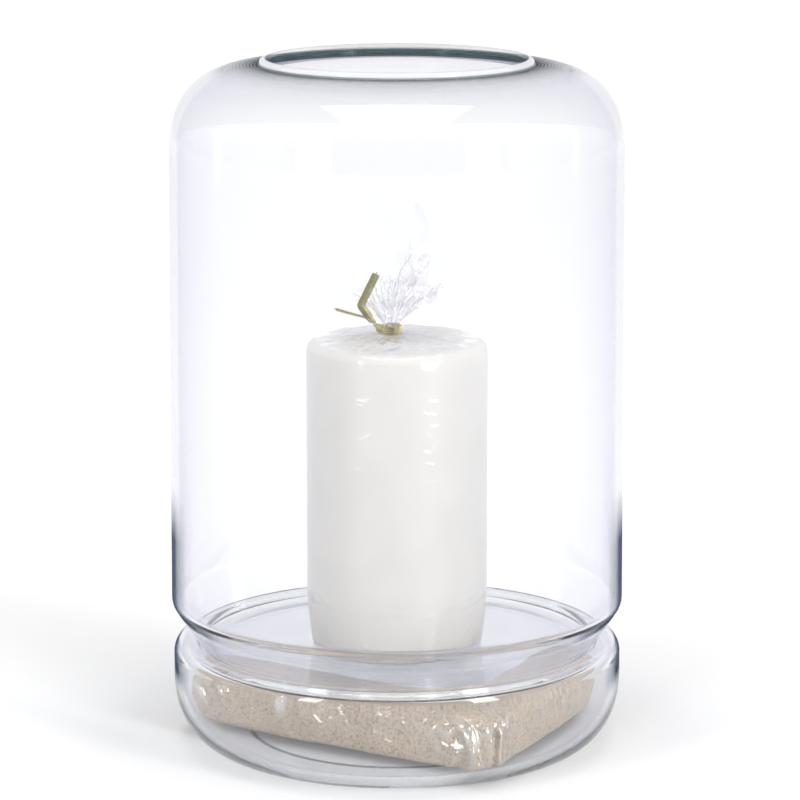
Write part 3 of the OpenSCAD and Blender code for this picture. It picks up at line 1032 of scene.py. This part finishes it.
def pleat_wave(turn, pleats, rng):
    """An uneven zigzag round the neck, from -1 to 1, read at each turn in radians."""
    order = np.arange(2 * pleats)
    ends = np.sort((order + rng.uniform(-0.32, 0.32, 2 * pleats)) * math.pi / pleats)
    heights = np.where(order % 2 == 0, 1, -1) * rng.uniform(0.45, 1.0, 2 * pleats)
    return np.interp(
        turn,
        np.concatenate([ends[-1:] - 2 * math.pi, ends, ends[:1] + 2 * math.pi]),
        np.concatenate([heights[-1:], heights, heights[:1]]),
    )


def crease_of(points):
    """How sharply the surface bends at each point of a wrapped grid, from 0 to 1."""
    along = np.zeros(points.shape[:2])
    for axis in (0, 1):
        step = np.roll(points, -1, axis) - points
        back = points - np.roll(points, 1, axis)
        size = np.linalg.norm(step, axis=-1) * np.linalg.norm(back, axis=-1) + 1e-12
        along += 1 - np.clip((step * back).sum(-1) / size, -1, 1)
    along[0] = along[1]
    along[-1] = along[-2]
    return np.clip((along - 0.05) / 0.5, 0, 1)


def side_rows(w, c, ring, waves):
    """Under the wax in a flat star of folds, up the side, drawn in at the foot like the wax,
    and over the edge."""
    film_r = c.radius + w.slack
    low = c.foot_z - 0.2 * MM
    side_foot, side_top = low + 1.2 * MM, c.top_z - c.edge
    edge = c.edge + w.slack
    rows = []
    for r in np.linspace(3 * MM, film_r - c.draw - 1.2 * MM, UNDER_ROWS):
        rows.append(ring(r, low + 0.08 * MM * waves[1]))
    for t in np.linspace(0, 1, SIDE_ROWS):
        z = side_foot + (side_top - side_foot) * t
        drawn = c.draw * max(0.0, 1 - (z - c.foot_z) / c.draw_height) ** 2
        lift = 0.18 + 0.5 * (t > 0.8) * (t - 0.8) + 0.25 * (t < 0.1)
        rows.append(ring(film_r - drawn + MM * 0.35 * lift * (1 + waves[2]) / 2, z))
    for a in np.radians(np.linspace(8, 84, EDGE_ROWS)):
        wave = (0.25 * waves[0] + 0.12 * waves[1]) * MM * math.sin(a)
        r = film_r - edge + (edge + wave) * math.cos(a)
        rows.append(ring(r, side_top + (edge + wave) * math.sin(a)))
    return rows


def top_rows(w, c, ring, waves):
    """In across the top to the neck, the pleats growing and swirling as they close, and
    through the tie."""
    top = c.top_z + w.slack
    neck_low = w.neck_z - 2.2 * MM
    start_r = c.radius - c.edge
    rows = []
    for q in np.linspace(0.03, 1, TOP_ROWS):
        r = start_r * (1 - q) + w.neck_radius * q
        z = top + 0.5 * MM * math.sin(math.pi * q) + (neck_low - top) * q**3.2
        grow = (0.25 + 0.9 * q * (1 - 0.55 * q)) * MM
        swirl = int(round(w.around * SWIRL * q))
        lift = np.roll(waves[0], swirl) * 0.8 + np.roll(waves[1], -swirl // 2) * 0.45
        narrow = 1 + 0.12 * q * np.roll(waves[0], swirl)
        free = min(1.0, 12 * (1 - q) + 0.25)
        rows.append(ring(r * narrow, z + grow * (lift + 0.9) * free, q**1.5))
    folded = np.roll(waves[0], int(w.around * SWIRL)) * 0.09 + np.roll(waves[1], 5) * 0.06
    for z in np.linspace(-1.7, 1.7, NECK_ROWS) * MM:
        rows.append(ring(w.neck_radius * (0.9 + folded), w.neck_z + z, 1.0))
    return rows


def tuft_rows(w, out, neck, waves, turn):
    """Out from the neck into the tuft, towards its tips."""
    tips = round_table(np.degrees(turn), TUFT_TIPS) * MM
    aside = np.stack([tips[:, 0], tips[:, 1], 0 * tips[:, 0]], -1)
    fold = waves[0] * 0.7 + waves[1] * 0.35
    foot_ring = out * (w.neck_radius * (0.9 + 0.09 * fold))[:, None]
    start = 1.9 * MM
    rows = []
    for t in np.linspace(0.02, 1, TUFT_ROWS):
        spread = t**1.35
        place = foot_ring * (1 - spread) + aside * spread
        ragged = 1 + 0.12 * waves[2] * t**3 + 0.05 * waves[1] * t**4
        height = start + (tips[:, 2] - start) * t * ragged
        sway = MM * 2.3 * t**0.7 * np.roll(fold, int(9 * t))
        rows.append(neck + place + out * sway[:, None] + UP * (w.neck_z + height)[:, None])
    return rows


def wrap_grid(w, c):
    """The film, row by row: under the wax, up its side, over its edge, in to the neck and out
    into the tuft. Returns points as rows by columns by 3."""
    rng = np.random.default_rng(w.seed)
    turn = np.linspace(0, 2 * math.pi, w.around, endpoint=False)
    out = np.stack([np.cos(turn), np.sin(turn), np.zeros_like(turn)], -1)
    neck = np.array([w.neck_x, 0, 0])
    waves = [pleat_wave(turn, n, rng) for n in (w.pleats, w.pleats * 2 - 3, 9)]

    def ring(r, z, centre=0.0):
        return out * np.reshape(r, (-1, 1)) + UP * np.reshape(z, (-1, 1)) + neck * centre

    rows = side_rows(w, c, ring, waves) + top_rows(w, c, ring, waves)
    return np.array(rows + tuft_rows(w, out, neck, waves, turn))


def crumple(points, w):
    """Crushes the film above the candle: sharp little facets, strongest in the tuft."""
    amount = np.zeros(len(points))
    amount[TOP_START - 8 : TOP_START] = np.linspace(0.05, 0.25, 8)
    amount[TOP_START : TOP_START + TOP_ROWS] = np.interp(
        np.linspace(0, 1, TOP_ROWS), [0, 0.5, 0.9, 1], [0.35, 0.7, 0.4, 0.0]
    )
    amount[TUFT_START:] = np.interp(
        np.linspace(0, 1, TUFT_ROWS), [0, 0.12, 0.5, 1], [0, 0.5, 1.5, 2.4]
    )
    moved = points.copy()
    active = amount > 0
    picked = points[active]
    shift = np.zeros_like(picked)
    for scale, share in ((9 * MM, 1.0), (3.6 * MM, 0.3)):
        for axis in range(3):
            value = noise_at(picked, scale, w.seed + axis * 5 + scale * 1000)
            shift[..., axis] += share * (0.5 - np.abs(value) * 1.6)
    shift[..., 2] *= 0.8
    moved[active] += shift * (amount[active] * MM)[:, None, None]
    return moved


def creased_film(points):
    """How creased the film is at each point, more on the pleated top and in the tuft; the film's
    material paints white highlights and more cover there.
    """
    crease = crease_of(points)
    crease[TOP_START:TUFT_START] = 0.12 + 0.88 * crease[TOP_START:TUFT_START]
    crease[TUFT_START:] = 0.42 + 0.58 * crease[TUFT_START:]
    return crease


class LANTERN_OT_wrap(Operator):
    """Build the film gathered round the candle"""

    bl_idname = "lantern.wrap"
    bl_label = "Candle Wrap"

    def execute(self, context):
        scene = context.scene
        w, c = scene.lantern_wrap, scene.lantern_candle
        points = crumple(wrap_grid(w, c), w)
        floor = scene.lantern_glass.foot_z + scene.lantern_glass.vessel_floor
        points[..., 2] = np.maximum(points[..., 2], floor + 0.06 * MM)
        grid = np.arange(points[..., 0].size).reshape(points.shape[:2])
        quads = quads_of(np.concatenate([grid, grid[:, :1]], axis=1))
        film = clear_film("wrap_film", w.film, w.crease, **WRAP_FILM)
        mesh = faces_mesh("film_wrap", points.reshape(-1, 3), quads, film)
        # The film's material paints white highlights where this is high
        keep_numbers(mesh, "crease", creased_film(points))
        wrap = new_object("film_wrap", mesh)
        stands_for(wrap, "candle_wrap", "candle")
        return {"FINISHED"}


# ---------------------------------------------------------------- twist tie

# The strip's way from one cut end to the other, in millimetres from the middle of the neck:
# sideways, depth, height, and the direction of the strip's width
TAIL_UP = [
    (-5.8, -3.4, 22.0, (0.9, 0.1, -0.42)), (-8.5, -3.5, 16.4, (0.9, 0.1, -0.42)),
    (-11.0, -3.6, 11.2, (0.9, 0.1, -0.42)), (-11.6, -3.6, 9.9, (0.95, 0.1, 0.1)),
    (-10.6, -3.5, 8.2, (0.75, 0.2, 0.6)), (-8.6, -3.1, 5.4, (0.7, 0.4, 0.6)),
    (-7.2, -2.4, 3.4, (0.3, 0.9, 0.3)), (-6.2, -2.9, 2.0, (-0.3, 0.9, 0.4)),
    (-5.1, -2.7, 0.9, (-0.1, 0.3, 0.95)),
]
TAIL_SIDE = [
    (-4.3, 1.2, 0.1, (0.0, 0.1, 1.0)), (-5.2, -0.6, 0.9, (-0.3, 0.5, 0.8)),
    (-6.2, -1.9, 2.2, (0.2, 0.9, -0.3)), (-7.1, -3.2, 3.2, (0.5, -0.6, -0.6)),
    (-8.3, -2.6, 4.2, (0.1, -0.95, -0.3)), (-10.5, -2.0, 5.0, (0.0, -1.0, -0.1)),
    (-15.5, -1.6, 6.3, (0.0, -1.0, -0.16)), (-21.2, -1.2, 7.9, (0.0, -1.0, -0.22)),
]


def tie_path(t, w):
    """Points along the strip and the direction of its width at each."""
    radius = t.ring / MM
    ring = [
        (radius * math.cos(a), radius * math.sin(a), 0.25 * math.sin(a) - 0.1, (0.0, 0.0, 1.0))
        for a in np.radians(np.arange(212, 212 + 326, 14.0))
    ]
    keys = TAIL_UP + ring + TAIL_SIDE
    place = np.array([k[:3] for k in keys])
    across = np.array([k[3] for k in keys])
    place, across = catmull(place, 7), catmull(across, 7)
    along = unit(np.gradient(place, axis=0))
    across = unit(across - along * (across * along).sum(1)[:, None])
    return place * MM + np.array([w.neck_x, 0, w.neck_z]), across


def catmull(keys, steps):
    """A smooth line through the keys, with so many steps from one to the next."""
    padded = np.concatenate([2 * keys[:1] - keys[1:2], keys, 2 * keys[-1:] - keys[-2:-1]])
    out = []
    for i in range(len(keys) - 1):
        a, b, c, d = padded[i : i + 4]
        square, cube = 2 * a - 5 * b + 4 * c - d, 3 * b - a - 3 * c + d
        for t in np.linspace(0, 1, steps, endpoint=False):
            out.append((2 * b + (c - a) * t + square * t**2 + cube * t**3) / 2)
    out.append(keys[-1])
    return np.array(out)


def strip_outline(t):
    """Section of the strip: two thin wings of foil with the wire's ridge in the middle."""
    half, thin, ridge = t.width / 2, t.film, t.core + t.film
    upper = [(-half, thin / 2), (-half * 0.45, thin / 2)]
    upper += [
        (ridge * 1.25 * math.cos(a), max(thin / 2, ridge * math.sin(a)))
        for a in np.linspace(math.pi * 0.94, math.pi * 0.06, 7)
    ]
    upper += [(half * 0.45, thin / 2), (half, thin / 2)]
    return upper + [(x, -z) for x, z in reversed(upper)]


class LANTERN_OT_tie(Operator):
    """Build the foil strip of the twist tie and its wire core"""

    bl_idname = "lantern.tie"
    bl_label = "Twist Tie"

    def execute(self, context):
        scene = context.scene
        t, w = scene.lantern_tie, scene.lantern_wrap
        place, across = tie_path(t, w)
        tree = sweep_tree()
        strip = swept("gold_tie", [(place, across)], strip_outline(t), gold_foil(t), tree)
        before, after = 2 * place[:1] - place[1:2], 2 * place[-1:] - place[-2:-1]
        longer = np.concatenate([before, place, after])
        turned = np.concatenate([across[:1], across, across[-1:]])
        wire = swept("tie_core", [(longer, turned)], circle(t.core, 8), steel_wire(t), tree)
        stands_for(strip, "twist_tie_strip", "candle")
        stands_for(wire, "twist_tie_wire", "candle")
        return {"FINISHED"}


# ---------------------------------------------------------------- sand bag

# The bag is a long pouch bent round its middle. Its plan lies between two bent lines, outside
# and inside, through points given as share of its reach and direction in degrees
BAG_OUTSIDE = [(1.03, 180), (0.99, -65.7), (1.03, 17)]
BAG_INSIDE = [(0.9, 163), (0.54, -58), (0.85, 29)]
# Folds that the bend draws in: how far along from its tip, lean, width and depth, and the
# heights between which they run, in millimetres
BEND_FOLDS = [
    (-6.5, 0.25, 1.1, 3.0, -2, 13), (5.5, 0.1, 0.9, 4.0, -3, 17), (-0.5, -0.2, 1.6, 2.0, 6, 22),
    (-11.5, 0.5, 1.5, 2.4, 3, 19), (10.5, -0.3, 1.4, 1.8, 2, 16), (-17.5, 0.6, 1.3, 1.6, 5, 20),
    (3.0, 0.5, 1.0, 1.6, 9, 23),
]
# How square the bag's fullness is along it and across it
END_POWER, SIDE_POWER = 14, 4
# Gap under the bag, and frames for which it is blown up
REST = 0.6 * MM
CLOTH_FRAMES = 24


def bent(points, u, s):
    """Places at u, from -1 to 1, on a line of three points whose middle corner is rounded."""
    a, b, c = (
        np.array([math.cos(math.radians(d)), math.sin(math.radians(d))]) * s.reach * share
        for share, d in points
    )
    w = np.hypot(u, s.bend)
    return b + ((w + u) / 2)[..., None] * (c - b) + ((w - u) / 2)[..., None] * (a - b)


def bag_plan(u, v, s):
    """Place in plan of the bag at u along it and v across it, which run from -1 to 1."""
    along = u * np.sqrt(1 - s.rounding * np.minimum(v * v, 1))
    share = ((1 + v) / 2)[..., None]
    return (1 - share) * bent(BAG_OUTSIDE, along, s) + share * bent(BAG_INSIDE, along, s)


def pouch(u, v, side, s, g):
    """The filled bag without its wrinkles: flat below, plump to its seam and above it, and
    held off the bowl's curved corner. side is 1 on top and -1 below."""
    plan = bag_plan(u, v, s)
    full = np.sqrt(np.clip((1 - np.abs(u) ** END_POWER) * (1 - v**SIDE_POWER), 0, 1))
    r = np.hypot(plan[..., 0], plan[..., 1])
    foot = s.seam - (s.seam - s.low) * full**s.foot_power
    foot = np.maximum(foot, bowl_inside(g, r + REST) + REST)
    top = np.maximum(s.seam + (s.high - s.seam) * full**s.top_power, foot)
    return np.concatenate([plan, np.where(side > 0, top, foot)[..., None]], -1)


def bag_grid(s):
    """u, v and side of every point of two sheets that share their edge, and their quads."""
    quarter = math.pi / 2
    along = 0.5 * np.sin(np.linspace(-quarter, quarter, s.steps + 1))
    along += np.linspace(-0.5, 0.5, s.steps + 1)
    across = np.sin(np.linspace(-quarter, quarter, s.side_steps + 1))
    u, v = np.meshgrid(along, across)
    inner = np.zeros(u.shape, bool)
    inner[1:-1, 1:-1] = True
    upper = np.arange(u.size).reshape(u.shape)
    lower = upper.copy()
    lower[inner] = upper.size + np.arange(inner.sum())
    u = np.concatenate([u.ravel(), u[inner]])
    v = np.concatenate([v.ravel(), v[inner]])
    side = np.concatenate([np.ones(upper.size), -np.ones(inner.sum())])
    return u, v, side, upper, lower


def flat_bag(u, v, side, s):
    """The empty pouch, laid flat and wider than the filled one, ready to be blown up."""
    flat_v = np.arcsin(v) * 2 / math.pi
    plan = bag_plan(u, flat_v * s.growth, s)
    swell = np.sqrt(np.clip((1 - u**END_POWER) * (1 - flat_v**2), 0, 1)) * 4 * MM
    return np.concatenate([plan, (s.seam + side * swell)[:, None]], -1)


def wrinkles(points, upper, lower, passes=14):
    """What the blown-up cloth has over a smooth version of itself, point by point."""
    out = np.zeros_like(points)
    for grid in (upper, lower):
        cloth = points[grid]
        smooth = cloth.copy()
        for _ in range(passes):
            smooth[1:-1, 1:-1] = (
                smooth[:-2, 1:-1] + smooth[2:, 1:-1] + smooth[1:-1, :-2] + smooth[1:-1, 2:]
            ) / 4
        out[grid.ravel()] = (cloth - smooth).reshape(-1, 3)
    return out


def puckers(p, u, s):
    """Short steep folds across the seam, where the film takes up its spare length: how far
    each point stands out, and how sharply creased it is, which the film paints as a white
    highlight."""
    height = p[:, 2] - s.seam
    along = (u * s.half_length + height * 0.55) / s.pucker_size
    fold = noise_at(np.column_stack([along, height / (18 * MM), 0 * along]), 1.0, s.seed)
    fold = 1 - np.abs(fold) * 3.2
    broad = noise_at(np.column_stack([u * 5.0, 0 * u, 0 * u]), 1.0, s.seed + 4)
    broad = np.clip(0.5 + broad * 2.4, 0.12, 1)
    band = np.exp(-(((height - 6 * MM) / (4.5 * MM)) ** 2))
    crease = np.clip((fold - 0.5) / 0.3, 0, 1) * band * np.clip(broad * 1.5, 0, 1)
    return np.clip(fold, -0.6, 1) * (band + 0.25) * broad * s.pucker, crease


def bend_folds(p, s):
    """How far the bend is drawn in at each point, and the creases beside its folds, which the film
    paints as white highlights.
    """
    tip, inner = bag_plan(np.zeros(2), np.array([-1.0, 1.0]), s)
    way = (inner - tip) / np.linalg.norm(inner - tip)
    aside = (p[:, :2] - tip) @ np.array([way[1], -way[0]]) / MM
    back = (p[:, :2] - tip) @ way / MM
    height = (p[:, 2] - s.low) / MM
    moved, crease = np.zeros(len(p)), np.zeros(len(p))
    for place, lean, width, depth, low, high in BEND_FOLDS:
        across = aside - place - lean * (height - 9)
        span = np.clip((height - low) / 3, 0, 1) * np.clip((high - height) / 4, 0, 1)
        shoulder = np.exp(-(((np.abs(across) - 2.2 * width) / (0.7 * width)) ** 2)) * span
        moved += depth * np.exp(-((across / width) ** 2)) * span - 0.35 * depth * shoulder
        crease += 0.5 * shoulder
    near = np.clip((30 - back) / 16, 0, 1) * np.clip((26 - np.abs(aside)) / 8, 0, 1)
    return moved * near * MM, np.clip(crease, 0, 1) * near


def filled_bag(u, v, side, creased, s, g):
    """The bag as it lies in the bowl, with its wrinkles, and how creased each point is."""
    p = pouch(u, v, side, s, g)
    centre = pouch(u, 0 * v, side, s, g)
    out = np.concatenate([p[:, :2] - centre[:, :2], np.zeros((len(p), 1))], -1)
    out /= np.maximum(np.linalg.norm(out, axis=1), 1e-9)[:, None]
    flank = np.clip((np.abs(v) - 0.55) / 0.4, 0, 1)
    out = out * flank[:, None] + UP * (side * (1 - flank))[:, None]
    ends = np.clip((1 - np.abs(u)) / 0.08, 0, 1)
    lumps = noise_at(p, s.lump, s.seed + 9) * 1.6 * MM
    folds, fold_crease = bend_folds(p, s)
    raised, crease = puckers(p, u, s)
    p += np.clip(creased, -2 * MM, 2 * MM) * np.where(side > 0, 1.0, 0.4)[:, None]
    p += out * ((raised * ends + lumps) * (0.3 + 0.7 * flank) - folds * flank)[:, None]
    r = np.hypot(p[:, 0], p[:, 1])
    held = np.minimum(r, g.bowl_radius - g.wall - 0.7 * MM)
    p[:, :2] *= (held / np.maximum(r, 1e-9))[:, None]
    p[:, 2] = np.clip(p[:, 2], bowl_inside(g, held + 0.3 * MM) + 0.4 * MM, s.high + 0.8 * MM)
    return p, np.clip(crease * flank + fold_crease, 0, 1)


def inflated(obj):
    """Blows the bag up as cloth, so that it wrinkles, and applies the result."""
    scene = bpy.context.scene
    cloth = obj.modifiers.new("fill", "CLOTH")
    c = cloth.settings
    c.quality = 6
    c.mass = 0.15
    c.tension_stiffness = c.compression_stiffness = 25
    c.shear_stiffness = 12
    c.bending_stiffness = 0.02
    c.use_pressure = True
    c.uniform_pressure_force = 3.0
    c.effector_weights.gravity = 0
    cloth.collision_settings.use_collision = False
    cloth.point_cache.frame_start, cloth.point_cache.frame_end = 1, CLOTH_FRAMES
    for step in range(1, CLOTH_FRAMES + 1):
        scene.frame_set(step)
    made = applied(obj, obj.name)
    scene.frame_set(1)
    return made


def bowl_inside(g, r):
    """Height of the bowl's inner surface at radius r."""
    foot = g.bowl_radius - g.corner_run
    share = np.clip((r - foot) / (g.bowl_radius - g.wall - foot), 0, 1)
    return g.corner_rise - (g.corner_rise - g.bowl_floor) * np.sqrt(1 - share**2)


class LANTERN_OT_sand(Operator):
    """Build the bag of sand in the bowl"""

    bl_idname = "lantern.sand"
    bl_label = "Sand Bag"

    def execute(self, context):
        scene = context.scene
        s, g = scene.lantern_sand, scene.lantern_glass
        film = clear_film("bag_film", s.film_body, s.glint, **BAG_FILM)
        u, v, side, upper, lower = bag_grid(s)
        flat = flat_bag(u, v, side, s)
        quads = np.concatenate([quads_of(upper), quads_of(lower, flip=True)])
        bag = new_object("bag_film", faces_mesh("bag_film", flat, quads, film))
        creased = np.zeros_like(flat)
        bag = inflated(bag)
        creased = wrinkles(read_points(bag.data), upper, lower)
        points, crease = filled_bag(u, v, side, creased, s, g)
        set_points(bag.data, points)
        # The film's material paints white highlights where this is high
        keep_numbers(bag.data, "crease", crease)
        smooth = bag.modifiers.new("smooth", "SUBSURF")
        smooth.levels = smooth.render_levels = 1
        bag = applied(bag, "bag_film")
        fill = new_object("bag_sand", bag.data.copy())
        fill.data.name = "bag_sand"
        inward = read_points(fill.data, "normal") * s.film
        set_points(fill.data, read_points(fill.data) - inward)
        fill.data.materials.clear()
        fill.data.materials.append(dry_sand(s))
        stands_for(bag, "sand_bag", "bag")
        stands_for(fill, "sand_fill", "bag")
        return {"FINISHED"}


# ---------------------------------------------------------------- stage


LAMP_AIM = Vector((0, 0, 0.13))


def backdrop_rays(tree):
    """1 for rays that show the background: from the camera, or by way of gloss or glass."""
    path = add_node(tree, "ShaderNodeLightPath")
    rays = ("Is Camera Ray", "Is Glossy Ray", "Is Transmission Ray")
    shown = largest(tree, *(path.outputs[name] for name in rays))
    first = math_node(tree, "LESS_THAN", path.outputs["Diffuse Depth"], 0.5)
    return product(tree, shown, first)


def white_world(s):
    """White behind the lantern, with the greyer ceiling and the dim room on the camera's side
    that only gloss and glass pick up, and soft light for everything else."""
    world = bpy.data.worlds.new("studio")
    world.use_nodes = True
    tree = world.node_tree
    tree.nodes.clear()
    way = add_node(tree, "ShaderNodeTexCoord").outputs["Generated"]
    way = add_node(tree, "ShaderNodeSeparateXYZ", {0: way})
    ceiling = remap(tree, way.outputs["Z"], 0.15, 1.0)
    room = remap(tree, way.outputs["Y"], -0.35, -0.6)
    shade = blend_colour(tree, ceiling, WHITE, s.ceiling)
    shade = blend_colour(tree, room, shade, s.room)
    shown = add_node(tree, "ShaderNodeBackground", {"Color": shade, "Strength": 1.0})
    ambient = add_node(tree, "ShaderNodeBackground", {"Color": WHITE, "Strength": s.ambient})
    mixed = add_node(
        tree,
        "ShaderNodeMixShader",
        {0: backdrop_rays(tree), 1: ambient.outputs[0], 2: shown.outputs[0]},
    )
    add_node(tree, "ShaderNodeOutputWorld", {"Surface": mixed.outputs[0]})
    return world


def floor_material(s):
    """Matt white paper, lifted to white where it is looked at, so that only the lantern's
    shadow stays on it."""
    material, tree = new_material("white_paper")
    grain = pattern(tree, "Noise", 900.0, detail=2.0).outputs[0]
    tone = blend_colour(tree, grain, s.floor, dimmed(s.floor, 0.985))
    paper = add_node(tree, "ShaderNodeBsdfDiffuse", {"Color": tone, "Roughness": 0.6})
    away = add_node(tree, "ShaderNodeVectorMath", {0: object_coords(tree)}, operation="LENGTH")
    far = math_node(tree, "POWER", remap(tree, away.outputs["Value"], 0.12, 2.8), 0.6)
    strength = remap(tree, far, 0.0, 1.0, s.near_lift, s.lift)
    strength = product(tree, backdrop_rays(tree), strength)
    lift = add_node(tree, "ShaderNodeEmission", {"Color": WHITE, "Strength": strength})
    both = add_node(tree, "ShaderNodeAddShader", {0: paper.outputs[0], 1: lift.outputs[0]})
    finish_material(tree, both.outputs[0])
    return material


def slab(name, low, high, material):
    """A box of the stage, from its lowest to its highest corner."""
    (x0, y0, z0), (x1, y1, z1) = low, high
    corners = [(x, y, z) for z in (z0, z1) for x, y in ((x0, y0), (x1, y0), (x1, y1), (x0, y1))]
    faces = [(3, 2, 1, 0), (4, 5, 6, 7), (0, 1, 5, 4), (1, 2, 6, 5), (2, 3, 7, 6), (3, 0, 4, 7)]
    mesh = bpy.data.meshes.new(name)
    mesh.from_pydata(corners, [], faces)
    mesh.materials.append(material)
    obj = new_object(name, mesh)


def softbox(name, place, size, power):
    """A rectangular lamp that points at the middle of the lantern."""
    lamp = bpy.data.lights.new(name, "AREA")
    lamp.shape = "RECTANGLE"
    lamp.size, lamp.size_y = size
    lamp.energy = power
    obj = new_object(name, lamp)
    obj.location = place
    way = LAMP_AIM - obj.location
    obj.rotation_euler = way.to_track_quat("-Z", "Y").to_euler()
    return obj


def front_camera(s):
    """A camera in front of the lantern that looks slightly down at it."""
    camera = bpy.data.cameras.new("camera")
    camera.lens = s.lens
    camera.clip_start, camera.clip_end = 0.05, 50
    holder = new_object("camera", camera)
    holder.location = (s.camera_x, -s.camera_back, s.camera_z)
    holder.rotation_euler = (math.pi / 2 - s.camera_pitch, 0, 0)
    return holder


class LANTERN_OT_stage(Operator):
    """Set up the camera, the lamps, the floor and the background"""

    bl_idname = "lantern.stage"
    bl_label = "Stage"

    def execute(self, context):
        scene = context.scene
        s = scene.lantern_stage
        scene.camera = front_camera(s)
        scene.world = white_world(s)
        slab("floor", (-4, -4, -0.02), (4, 4, 0), floor_material(s))
        softbox("softbox_right", (0.83, -0.86, 0.42), (0.3, 0.9), s.right)
        softbox("softbox_left", (-0.83, -0.86, 0.42), (0.22, 0.9), s.left)
        top = softbox("softbox_top", (0, -0.1, 1.5), (0.9, 0.9), s.top)
        top.visible_glossy = False

        scene.view_settings.view_transform = "Standard"
        scene.cycles.max_bounces = 32
        scene.cycles.transmission_bounces = 28
        scene.cycles.glossy_bounces = 12
        scene.cycles.transparent_max_bounces = 48
        return {"FINISHED"}


# ---------------------------------------------------------------- panel and running

# What is built, in order: the operator's name, its settings and the operator
STEPS = [
    ("stage", StageSettings, LANTERN_OT_stage),
    ("glass", GlassSettings, LANTERN_OT_glass),
    ("candle", CandleSettings, LANTERN_OT_candle),
    ("wrap", WrapSettings, LANTERN_OT_wrap),
    ("tie", TieSettings, LANTERN_OT_tie),
    ("sand", SandSettings, LANTERN_OT_sand),
]


class LANTERN_PT_pieces(Panel):
    """Lists the pieces of the lantern and their sizes"""

    bl_label = "Hurricane Lantern"
    bl_idname = "LANTERN_PT_pieces"
    bl_space_type = "VIEW_3D"
    bl_region_type = "UI"
    bl_category = "Lantern"

    def draw(self, context):
        for name, _, _ in STEPS:
            box = self.layout.box()
            box.operator(f"lantern.{name}")
            settings = getattr(context.scene, f"lantern_{name}")
            for key in settings.__annotations__:
                box.prop(settings, key)


CLASSES = [item for _, *pair in STEPS for item in pair] + [LANTERN_PT_pieces]


def register():
    for item in CLASSES:
        bpy.utils.register_class(item)
    for name, group, _ in STEPS:
        setattr(bpy.types.Scene, f"lantern_{name}", PointerProperty(type=group))


def unregister():
    for name, _, _ in STEPS:
        delattr(bpy.types.Scene, f"lantern_{name}")
    for item in reversed(CLASSES):
        bpy.utils.unregister_class(item)


def main():
    register()
    for name, _, _ in STEPS:
        getattr(bpy.ops.lantern, name)()


if __name__ == "__main__":
    main()
